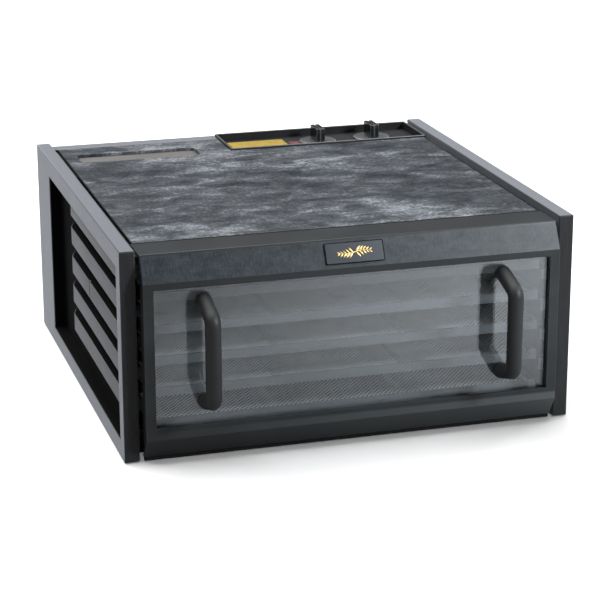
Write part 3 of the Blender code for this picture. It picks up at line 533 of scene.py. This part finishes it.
# %% Handing out the finishes
FINISHES = {
    CHARCOAL: ["left_side_frame", "right_side_frame", "back_panel"],
    INNER: ["cabinet_floor", "left_wall", "right_wall"],
    POCKET: ["cabinet_roof"],
    SLATE: ["top_laminate"],
    DOOR: ["door_frame"],
    WINDOW: ["door_window"],
    CONTROL_BLACK: ["control_tray"],
    LABEL: ["dial_label"],
    SWITCH_CREAM: ["timer_body", "thermostat_body"],
    HEATER: ["heater_shroud"],
    STEEL: ["fan_guard", "motor_bracket", "motor_stator", "rear_bearing_strap", "motor_rotor"],
    BADGE_BLUE: ["badge_plate"],
    TRAY_GREY: [f"tray_{k}" for k in TRAYS],
    BRONZE: ["front_bearing", "rear_bearing"],
    COPPER: ["motor_coil"],
    RUBBER: ["cord_gland"] + [f"foot_{end}_{side}" for end in ("front", "back")
                              for side in ("left", "right")],
    DIAL_GREY: ["timer_dial", "thermostat_dial"],
    KNOB_BLACK: ["timer_knob", "thermostat_knob"],
    ALUMINIUM: ["fan_blade"],
    SCREEN_CLEAR: [f"screen_{k}" for k in TRAYS],
    HANDLE_BLACK: ["left_handle", "right_handle"],
}
dressed = set()
for material, nodes in FINISHES.items():
    for node in nodes:
        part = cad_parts[node]
        part.data.materials.clear()
        part.data.materials.append(material)
        dressed.add(node)
for node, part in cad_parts.items():
    if node not in dressed:
        material = HEATER if "heat" in node else STEEL
        part.data.materials.clear()
        part.data.materials.append(material)
print("steel by default:", sorted(set(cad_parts) - dressed))

# %% [markdown]
# Rebuilt pieces start as bmesh shapes. Three makers cover most of them. `turned` spins a
# profile of (distance along the axis, radius) pairs, as a lathe does. `swept` carries a circle
# along a path of points, as a bent rod.

# %% Makers for rebuilt pieces
SMOOTH_UP_TO = math.radians(38)


def settle(name, shape, material, body, stands_for=()):
    bmesh.ops.remove_doubles(shape, verts=shape.verts, dist=0.002 * MM)
    bmesh.ops.recalc_face_normals(shape, faces=shape.faces)
    for face in shape.faces:
        face.smooth = True
    for edge in shape.edges:
        if edge.is_manifold and edge.calc_face_angle() > SMOOTH_UP_TO:
            edge.smooth = False
    mesh = bpy.data.meshes.new(name)
    shape.to_mesh(mesh)
    shape.free()
    made = bpy.data.objects.new(name, mesh)
    bpy.context.scene.collection.objects.link(made)
    mesh.materials.append(material)
    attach(made, body)
    if stands_for:
        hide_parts(*stands_for)
    return made


def ring_of(shape, centre, across, up, radii, count):
    made = []
    for step in range(count):
        turn = 2 * math.pi * step / count
        made.append(shape.verts.new(centre + across * (radii[0] * math.cos(turn))
                                    + up * (radii[1] * math.sin(turn))))
    return made


def join_rings(shape, first, second):
    count = len(first)
    for step in range(count):
        after = (step + 1) % count
        shape.faces.new((first[step], first[after], second[after], second[step]))


def turned(shape, start, axis, profile, count=40):
    """Spins (along, radius) pairs about an axis. Both ends are closed."""
    axis = axis.normalized()
    across = axis.orthogonal().normalized()
    up = axis.cross(across)
    rings = [ring_of(shape, start + axis * along, across, up, (radius, radius), count)
             for along, radius in profile]
    for first, second in zip(rings, rings[1:]):
        join_rings(shape, first, second)
    shape.faces.new(rings[0][::-1])
    shape.faces.new(rings[-1])
    return shape


def swept(shape, path, radii, count=24, closed=False, side=Vector((1, 0, 0))):
    """Carries a ring of (sideways, upwards) radii along a path that stays square to side."""
    rings = []
    last = len(path) - 1
    for step, point in enumerate(path):
        if closed:
            along = path[(step + 1) % len(path)] - path[step - 1]
        else:
            along = path[min(step + 1, last)] - path[max(step - 1, 0)]
        along.normalize()
        up = along.cross(side).normalized()
        across = up.cross(along)
        pair = radii[step] if isinstance(radii, list) else radii
        rings.append(ring_of(shape, point, across, up, pair, count))
    for first, second in zip(rings, rings[1:]):
        join_rings(shape, first, second)
    if closed:
        join_rings(shape, rings[-1], rings[0])
    else:
        shape.faces.new(rings[0][::-1])
        shape.faces.new(rings[-1])
    return shape


def rim_path(low, high, inset, corner, z, steps=6):
    """A level rectangle with rounded corners, inset from a box's sides."""
    path = []
    centres = ((high.x - inset - corner, high.y - inset - corner),
               (low.x + inset + corner, high.y - inset - corner),
               (low.x + inset + corner, low.y + inset + corner),
               (high.x - inset - corner, low.y + inset + corner))
    for begin, (x, y) in enumerate(centres):
        for step in range(steps + 1):
            turn = math.pi / 2 * (begin + step / steps)
            path.append(Vector((x + corner * math.cos(turn), y + corner * math.sin(turn), z)))
    return path


def block(shape, low, high):
    corners = [shape.verts.new((x, y, z)) for z in (low[2], high[2]) for y in (low[1], high[1])
               for x in (low[0], high[0])]
    for face in ((0, 2, 3, 1), (4, 5, 7, 6), (0, 1, 5, 4), (2, 6, 7, 3), (0, 4, 6, 2), (1, 3, 7, 5)):
        shape.faces.new([corners[index] for index in face])


print("makers ready")

# %% [markdown]
# Each side frame is a plate with a shallow hollow in its outer face. Four long ribs cross the
# hollow from the front, level with the face, and bend inwards before they reach its rear
# end. The plate is built from its few corners and its edges are rounded by a Bevel modifier.
# A rib is lofted: one outline with softly rounded corners is repeated at stations along the
# rib, and each station says how far the rib stands out there. The second rib has a small
# groove across it, which is just two stations that stand out less.

# %% Side frames
HOLLOW_Y = (FRONT + 17 * MM, FRONT + 355 * MM)
HOLLOW_Z = (18 * MM, 182 * MM)
HOLLOW_DEEP = 12.2 * MM


def framed_plate(shape, side, low, high):
    """A plate whose outer face has a rectangular hollow."""
    outer = OUTER_FACE * side
    inner = (OUTER_FACE - 14.4 * MM) * side
    floor = (OUTER_FACE - HOLLOW_DEEP) * side
    around = [(low.y, low.z), (high.y, low.z), (high.y, high.z), (low.y, high.z)]
    hole = [(HOLLOW_Y[i], HOLLOW_Z[j]) for i, j in ((0, 0), (1, 0), (1, 1), (0, 1))]
    rims = [[shape.verts.new((x, y, z)) for y, z in outline]
            for x, outline in ((inner, around), (outer, around), (outer, hole), (floor, hole))]
    for first, second in zip(rims, rims[1:]):
        join_rings(shape, first, second)
    shape.faces.new(rims[0])
    shape.faces.new(rims[-1])


def rib(shape, side, low, high, stations, round_by):
    """Lofts a rib along (y, how far it stands out from the hollow's floor) stations."""
    base = OUTER_FACE - HOLLOW_DEEP - 0.4 * MM
    rings = []
    for y, out in stations:
        soft = min(round_by, out * 0.7)
        outline = [(base, low)]
        for centre, begin in ((low + soft, -90), (high - soft, 0)):
            for step in range(7):
                turn = math.radians(begin + 15 * step)
                outline.append((base + 0.4 * MM + out - soft + soft * math.cos(turn),
                                centre + soft * math.sin(turn)))
        outline.append((base, high))
        rings.append([shape.verts.new((x * side, y, z)) for x, z in outline])
    for first, second in zip(rings, rings[1:]):
        join_rings(shape, first, second)
    shape.faces.new(rings[0])
    shape.faces.new(rings[-1])


def rounded_edges(made, width, segments=3):
    bend = made.modifiers.new("rounding", "BEVEL")
    bend.width = width
    bend.segments = segments
    bend.limit_method = "ANGLE"
    bend.angle_limit = math.radians(40)
    return made


STAND = HOLLOW_DEEP - 0.4 * MM
BEND_FROM, BEND_TO = FRONT + 236 * MM, FRONT + 267 * MM
bend = [(BEND_FROM + (BEND_TO - BEND_FROM) * share,
         max(STAND * (1 - share ** 1.5), 0.5 * MM))
        for share in (0.15, 0.3, 0.45, 0.6, 0.75, 0.88, 1.0)]
straight = [(HOLLOW_Y[0] - 1 * MM, STAND), (BEND_FROM, STAND)]
GROOVE = [(FRONT + y * MM, STAND - drop * MM)
          for y, drop in ((148, 0), (148.2, 1.2), (151.3, 1.2), (151.5, 0))]
RIB_CENTRES = (151.0, 121.2, 91.4, 61.6)
RIB_HALF = 8.6
TOP_RIB_LOW = 171.4 * MM
for side, name in ((-1, "left"), (1, "right")):
    low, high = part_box(f"{name}_side_frame")
    shape = bmesh.new()
    framed_plate(shape, side, low, high)
    shape.normal_update()
    for face in shape.faces:
        inside = all(HOLLOW_Y[0] - MM < v.co.y < HOLLOW_Y[1] + MM and
                     HOLLOW_Z[0] - MM < v.co.z < HOLLOW_Z[1] + MM for v in face.verts)
        # The hollow's floor and walls take the painted shade finish.
        face.material_index = int(inside)
    plate = settle(f"{name}_frame_plate", shape, CHARCOAL, "cabinet",
                   [f"{name}_side_frame"])
    plate.data.materials.append(HOLLOW_SHADE)
    rounded_edges(plate, 1.4 * MM)
    shape = bmesh.new()
    for count, centre in enumerate(RIB_CENTRES):
        stations = straight[:1] + (GROOVE if count == 1 else []) + straight[1:] + bend
        rib(shape, side, (centre - RIB_HALF) * MM, (centre + RIB_HALF) * MM, stations, 0.9 * MM)
    rib(shape, side, TOP_RIB_LOW, HOLLOW_Z[1] + 0.6 * MM, straight + bend, 1.0 * MM)
    shape.normal_update()
    for face in shape.faces:
        # The ribs' flat top and under faces take the painted shade finish.
        face.material_index = int(abs(face.normal.z) > 0.97)
    ribs = settle(f"{name}_frame_ribs", shape, RIB_GREY, "cabinet")
    ribs.data.materials.append(HOLLOW_SHADE)
print("ribs stand", round(STAND * 1000, 1), "mm out of the hollow")

# %% [markdown]
# The two handles are matt black rods, bent out from the door, down and back again. A bent rod
# is a circle carried along a path whose corners have been rounded, so the path comes first.
# `rounded_path` replaces each corner with an arc that touches both of its straight runs.

# %% Door handles
def rounded_path(corners, bends, steps=10):
    path = [corners[0]]
    for before, corner, after, bend in zip(corners, corners[1:], corners[2:], bends):
        back = (before - corner).normalized()
        ahead = (after - corner).normalized()
        half = back.angle(ahead) / 2
        run = bend / math.tan(half)
        centre = corner + (back + ahead).normalized() * (bend / math.sin(half))
        start = corner + back * run - centre
        end = corner + ahead * run - centre
        for step in range(steps + 1):
            turn = start.angle(end) * step / steps
            path.append(centre + Quaternion(start.cross(end), turn) @ start)
    path.append(corners[-1])
    return path


HANDLE_THICK = 7.25 * MM
for side, x in (("left", middle("left_handle").x), ("right", middle("right_handle").x)):
    low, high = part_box(f"{side}_handle")
    top, bottom = high.z - HANDLE_THICK, low.z + HANDLE_THICK
    grip = low.y + HANDLE_THICK
    root, square, splay = high.y, high.y - 3 * MM, 9.5 * MM
    corners = [Vector((x, y, z)) for y, z in ((root, top), (square, top), (grip, top - splay),
                                              (grip, bottom + splay), (square, bottom), (root, bottom))]
    path = rounded_path(corners, [4 * MM, 8 * MM, 8 * MM, 4 * MM])
    shape = swept(bmesh.new(), path, (HANDLE_THICK, HANDLE_THICK), 36)
    settle(f"{side}_bent_handle", shape, HANDLE_BLACK, "door", [f"{side}_handle"])
print("handles stand", round((FRONT - low.y) * 1000), "mm in front of the side frames")

# %% [markdown]
# The fruit lies on flexible plastic screens: a lattice of thin strands crossing on the skew,
# moulded in two layers. Modelling the strands keeps the holes real, so the shelf below shows
# through and the lattice thins out where it is seen edge-on. Each strand is a long flat bar,
# clipped to the screen's edge by working out where its line leaves the rectangle.

# %% Tray screens
def skewed_strand(shape, low, high, start, slope, wide, floor, thick):
    """One bar of the lattice, on the line x = start + slope * (y - low.y)."""
    ends = sorted([low.y + (low.x - start) / slope, low.y + (high.x - start) / slope])
    first, last = max(ends[0], low.y), min(ends[1], high.y)
    if last - first < wide:
        return
    corners = []
    for y in (first, last):
        x = start + slope * (y - low.y)
        for z in (floor, floor + thick):
            for shift in (-wide / 2, wide / 2):
                corners.append(shape.verts.new((x + shift, y, z)))
    for face in ((0, 1, 3, 2), (4, 6, 7, 5), (0, 4, 5, 1), (2, 3, 7, 6), (0, 2, 6, 4), (1, 5, 7, 3)):
        shape.faces.new([corners[index] for index in face])


PITCH = 4.4 * MM
for number in TRAYS:
    low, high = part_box(f"screen_{number}")
    shape = bmesh.new()
    slope = 0.8
    for way, floor in ((slope, low.z), (-slope, low.z + 0.4 * MM)):
        reach = (high.y - low.y) * slope
        count = int((high.x - low.x + reach) / PITCH)
        for step in range(1, count):
            start = (low.x - reach if way > 0 else low.x) + step * PITCH
            skewed_strand(shape, low, high, start, way, 0.8 * MM, floor, 0.4 * MM)
    settle(f"lattice_screen_{number}", shape, SCREEN_CLEAR, f"tray_{number}",
           [f"screen_{number}"])
print("each screen has", 2 * count, "strands")

# %% [markdown]
# Each tray has a rolled rim that stiffens it, and that rim is what catches the light behind
# the window. It is a thin rod carried round the top of the tray's four walls, with rounded
# corners, and it rides with its tray.

# %% Tray rims
RIM = 1.25 * MM
for number in TRAYS:
    low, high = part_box(f"tray_{number}")
    path = rim_path(low, high, 1.3 * MM, 3 * MM, high.z - RIM + 0.2 * MM)
    shape = swept(bmesh.new(), path, (RIM, RIM), 12, True, Vector((0, 0, 1)))
    settle(f"tray_rim_{number}", shape, TRAY_GREY, f"tray_{number}")
print("rim rods are", RIM * 2000, "mm thick")

# %% [markdown]
# At the front end of each shelf a small block keeps its tray from sliding out sideways. Its
# front face is bare, polished plastic, and through the window it shows as a pale patch
# beside each tray. The walls' own corners say where the blocks stand, so their heights are
# read from the wall rather than typed, and a thin rounded cap is set on each one. The caps on
# the left get the wall's own dark finish instead of the pale grey: painted shade on the same caps.

# %% Shelf end caps
BLOCK_FRONT = FRONT + 20 * MM
for side, name in ((-1, "left"), (1, "right")):
    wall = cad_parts[f"{name}_wall"].data
    heights = sorted({round(v.co.z, 4) for v in wall.vertices
                      if abs(v.co.y - BLOCK_FRONT) < 0.1 * MM and abs(v.co.x) < 194.5 * MM})
    shape = bmesh.new()
    for bottom, top in zip(heights[::2], heights[1::2]):
        near, far = sorted((side * 194 * MM, side * 198.8 * MM))
        block(shape, (near, BLOCK_FRONT - 1.4 * MM, bottom + 0.3 * MM),
              (far, BLOCK_FRONT + 0.3 * MM, top - 0.3 * MM))
    # The left caps take the dark wall finish as painted shade.
    caps = settle(f"{name}_shelf_caps", shape, CAP_GREY if side > 0 else INNER, "cabinet")
    rounded_edges(caps, 0.5 * MM, 2)
print("block heights on the right wall:", [round(h * 1000, 1) for h in heights])

# %% [markdown]
# A low dark skirt closes the gap between the door's lower edge and the table. It is only a
# few millimetres high, yet it is what makes the machine sit down on the table instead of
# floating on its feet: it keeps light from coming through beneath the door, and its near-black
# finish paints the shade in that gap.

# %% Skirt
SKIRT_HALF = 0.1975
SKIRT_LOW, SKIRT_HIGH = 0.9 * MM, 4.2 * MM
shape = bmesh.new()
block(shape, (-SKIRT_HALF, FRONT + 0.8 * MM, SKIRT_LOW), (SKIRT_HALF, FRONT + 4.2 * MM, SKIRT_HIGH))
# A near-black piece that blocks light and paints the shade under the door.
skirt = settle("front_shade_skirt", shape, INNER, "cabinet")
rounded_edges(skirt, 0.5 * MM, 2)
print("the skirt ends", round((DOOR_LOW.z - SKIRT_HIGH) * 1000, 2), "mm below the door")

# %% [markdown]
# A badge sits in the middle of the fascia: a small black plate with a thin raised rim and a
# gilt ornament. The ornament here is a laurel sprig, which belongs to nobody. Its stem is a
# gentle wave and its leaves are swept rods that swell and taper. Everything is set out on the
# sloping plate by three directions: across, up the slope, and out from it.

# %% Badge
SLOPE = Vector((0, 13, 24)).normalized()
OUTWARD = Vector((0, -24, 13)).normalized()
BADGE_AT = Vector((-1 * MM, FRONT - 6.5 * MM, 184 * MM))


def on_badge(across, up, out=1.15):
    return BADGE_AT + (Vector((1, 0, 0)) * across + SLOPE * up + OUTWARD * out) * MM


def leaf(shape, start, angle, length, fat):
    heading = math.radians(angle)
    path = []
    radii = []
    for step in range(9):
        share = step / 8
        curl = 0.16 * length * math.sin(math.pi * share) * math.copysign(1, math.sin(heading))
        path.append(on_badge(start[0] + math.cos(heading) * length * share - curl * math.sin(heading) * 0.4,
                             start[1] + math.sin(heading) * length * share, 1.2))
        swell = max(fat * math.sin(math.pi * min(share * 1.05 + 0.02, 1)) ** 0.8, 0.05)
        radii.append((0.22 * MM * min(1, swell * 2), swell * MM))
    swept(shape, path, radii, 8, False, OUTWARD)


shape = bmesh.new()
stem = [(a, 1.3 * math.sin(a / 17 * math.pi)) for a in range(-17, 18)]
swept(shape, [on_badge(a, b) for a, b in stem],
      [(0.2 * MM, (0.55 - 0.022 * abs(a)) * MM) for a, b in stem], 8, False, OUTWARD)
for side in (-1, 1):
    for step in range(5):
        at = 1.5 + 3.1 * step
        root = (side * at, 1.3 * math.sin(side * at / 17 * math.pi))
        for tilt in (-1, 1):
            turn = tilt * (52 - 4 * step)
            leaf(shape, root, turn if side > 0 else 180 - turn, 6.6 - 0.8 * step, 0.95 - 0.09 * step)
settle("badge_sprig", shape, GOLD, "door")

shape = bmesh.new()
corner = 1.5
outline = []
for cx, cy, begin in ((28, 10, 0), (-28, 10, 1), (-28, -10, 2), (28, -10, 3)):
    middle_x, middle_y = cx - math.copysign(corner, cx), cy - math.copysign(corner, cy)
    for step in range(6):
        turn = math.pi / 2 * (begin + step / 5)
        outline.append(on_badge(middle_x + (corner - 0.45) * math.cos(turn),
                                middle_y + (corner - 0.45) * math.sin(turn), 1.1))
swept(shape, outline, (0.4 * MM, 0.4 * MM), 8, True, OUTWARD)
settle("badge_rim", shape, BADGE_BLACK, "door")
print("the badge leans back", round(math.degrees(math.atan2(13, 24))), "degrees")

# %% [markdown]
# The black control tray's rim catches a bright line of light, and a slim pale rim paints that
# highlight. It is a thin rod carried round the tray's upper edge, in the same way as the rim of
# the badge, and it draws the bright outline that tells the tray from the dark top.

# %% Control tray rim
low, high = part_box("control_tray")
path = rim_path(low, high, 1.5 * MM, 1.2 * MM, high.z - 0.3 * MM)
shape = swept(bmesh.new(), path, (0.9 * MM, 0.45 * MM), 12, True, Vector((0, 0, 1)))
# The pale rod paints the highlight on the tray's rim.
settle("control_tray_rim", shape, RIM_HIGHLIGHT_GREY, "cabinet")
print("the control tray is", [round(v * 1000) for v in (high - low).xy], "mm")

# %% [markdown]
# Each dial is a shallow glossy disc, dished a little towards its middle, and it carries a tall
# finger grip. The disc is turned, and its rim gets a painted highlight. The grip is two slim rounded
# plates on a core, so it has a groove along its top and down its ends, where light and a painted
# edge highlight draw two thin stripes.

# %% Dials and grips
for body in ("timer", "thermostat"):
    low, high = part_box(f"{body}_dial")
    centre = (low + high) / 2
    radius = (high.x - low.x) / 2
    thick = high.z - low.z
    start = Vector((centre.x, centre.y, low.z))
    profile = [(0, radius - 0.4 * MM), (0.3 * MM, radius), (thick - 0.6 * MM, radius),
               (thick - 0.25 * MM, radius - 0.15 * MM), (thick - 0.08 * MM, radius - 0.5 * MM),
               (thick, radius - 1.1 * MM), (thick - 0.12 * MM, radius - 7 * MM)]
    shape = turned(bmesh.new(), start, Vector((0, 0, 1)), profile, 72)
    settle(f"{body}_disc", shape, DIAL_GREY, body, [f"{body}_dial"])
    low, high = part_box(f"{body}_knob")
    centre = (low + high) / 2
    half_x, half_y = (high.x - low.x) / 2, (high.y - low.y) / 2
    top = high.z
    shape = bmesh.new()
    for side in (-1, 1):
        near, far = sorted((side * 0.5 * MM, side * half_x))
        block(shape, (centre.x + near, centre.y - half_y, low.z + 0.1 * MM),
              (centre.x + far, centre.y + half_y, top))
    block(shape, (centre.x - half_x + 0.7 * MM, centre.y - half_y + 0.8 * MM, low.z),
          (centre.x + half_x - 0.7 * MM, centre.y + half_y - 0.8 * MM, top - 1.2 * MM))
    grip = settle(f"{body}_grip", shape, KNOB_BLACK, body, [f"{body}_knob"])
    rounded_edges(grip, 0.6 * MM)
print("grips are", [round(v * 1000, 1) for v in (2 * half_x, 2 * half_y, top - low.z)], "mm")

# %% [markdown]
# The studio is a pale floor, a bright surround and a few large soft lamps. Dark plastic shows
# its shape by what it mirrors, so the lamps are placed for their reflections: one high behind
# the machine puts a sheen on the laminate, and one at the right front brightens the door
# towards that side. The surround looks white to the camera but lights the scene more gently,
# which the Light Path node can tell apart. The floor is split in the same way: the camera sees
# it white, while reflections see it grey, with a soft pool of glow at the right front. The
# right front lamp leaves the floor out, and a weak lamp without shadows lights nothing else,
# which keeps the shadow under the machine pale.

# %% Floor, surround and lamps
FLOOR_GREY = 0.36
POOL_AT = (0.50, -0.62, 0)
POOL_GLOW = 1.35


def plain_floor():
    shape = bmesh.new()
    reach = 6.0
    bmesh.ops.create_grid(shape, x_segments=4, y_segments=4, size=reach)
    mesh = bpy.data.meshes.new("pale_floor")
    shape.to_mesh(mesh)
    shape.free()
    made = bpy.data.objects.new("pale_floor", mesh)
    bpy.context.scene.collection.objects.link(made)
    material, tree, shader = finish("pale_floor", (0.92, 0.92, 0.92), 0.8, 0.1)
    soft = cloud(tree, place(tree), 2, 2)
    feed(tree, shader, Base_Color=blend(tree, soft, (0.91, 0.91, 0.915), (0.93, 0.93, 0.93)))
    seen = add(tree, "LightPath").outputs["Is Camera Ray"]
    dim = add(tree, "BsdfDiffuse", Color=(FLOOR_GREY, FLOOR_GREY, FLOOR_GREY, 1))
    offset = add(tree, "VectorMath", {"operation": "DISTANCE"}, Vector=place(tree))
    offset.inputs[1].default_value = POOL_AT
    pool = spread(tree, offset.outputs["Value"], 0.12, 0.55, POOL_GLOW, 0)
    shine = add(tree, "Emission", Color=(0.92, 0.97, 1, 1), Strength=pool)
    lit = add(tree, "AddShader")
    tree.links.new(dim.outputs["BSDF"], lit.inputs[0])
    tree.links.new(shine.outputs["Emission"], lit.inputs[1])
    either = add(tree, "MixShader", Fac=seen)
    tree.links.new(lit.outputs["Shader"], either.inputs[1])
    tree.links.new(shader.outputs["BSDF"], either.inputs[2])
    tree.links.new(either.outputs["Shader"], tree.nodes["Material Output"].inputs["Surface"])
    mesh.materials.append(material)
    return made


def lamp(name, kind, energy, where, at, size=(1, 1), colour=(1, 1, 1)):
    data = bpy.data.lights.new(name, kind)
    data.energy = energy
    data.color = colour
    if kind == "AREA":
        data.shape = "RECTANGLE"
        data.size, data.size_y = size
    else:
        data.angle = math.radians(size[0])
    made = bpy.data.objects.new(name, data)
    bpy.context.scene.collection.objects.link(made)
    made.location = where
    made.rotation_mode = "QUATERNION"
    made.rotation_quaternion = (Vector(at) - Vector(where)).to_track_quat("-Z", "Y")
    made.visible_camera = False
    return made


floor = plain_floor()
world = bpy.data.worlds.new("studio_surround")
bpy.context.scene.world = world
world.use_nodes = True
sky = world.node_tree
seen = add(sky, "LightPath").outputs["Is Camera Ray"]
height = add(sky, "SeparateXYZ", Vector=add(sky, "TexCoord").outputs["Generated"]).outputs["Z"]
glow = spread(sky, height, 0.15, 0.9, 0.07, 0.50)
strength = combine(sky, "MAXIMUM", combine(sky, "MULTIPLY", seen, 1.05), glow)
background = sky.nodes["Background"]
background.inputs["Color"].default_value = (1, 1, 1, 1)
sky.links.new(strength, background.inputs["Strength"])
lamp("ceiling_glow", "SUN", 3.95, (-0.4, 1.0, 2.6), (0, 0, 0), (75, 0))
lamp("left_back_softbox", "AREA", 6.5, (-1.5, 1.3, 0.95), (-0.1, 0.1, 0.12), (0.9, 0.7), (0.95, 0.97, 1))
lamp("far_right_softbox", "AREA", 10, (1.9, 0.6, 0.75), (0, 0, 0.19), (0.6, 0.5), (0.95, 0.97, 1))
front_lamp = lamp("right_softbox", "AREA", 31, (0.98, -1.15, 1.0), (0.2, -0.2, 0.12), (0.32, 0.32),
                  (0.92, 0.97, 1))
unlit = bpy.data.collections.new("unlit_by_front_lamp")
unlit.objects.link(floor)
unlit.collection_objects[0].light_linking.link_state = "EXCLUDE"
front_lamp.light_linking.receiver_collection = unlit
floor_fill = lamp("floor_fill", "SUN", 0.7, (0, 0, 3), (0, 0, 0), (30, 0))
floor_fill.data.use_shadow = False
floor_only = bpy.data.collections.new("lit_by_floor_fill")
floor_only.objects.link(floor)
floor_fill.light_linking.receiver_collection = floor_only
bpy.context.scene.view_settings.view_transform = "Standard"
bpy.context.scene.view_settings.look = "None"
print("lamps:", len(bpy.data.lights))
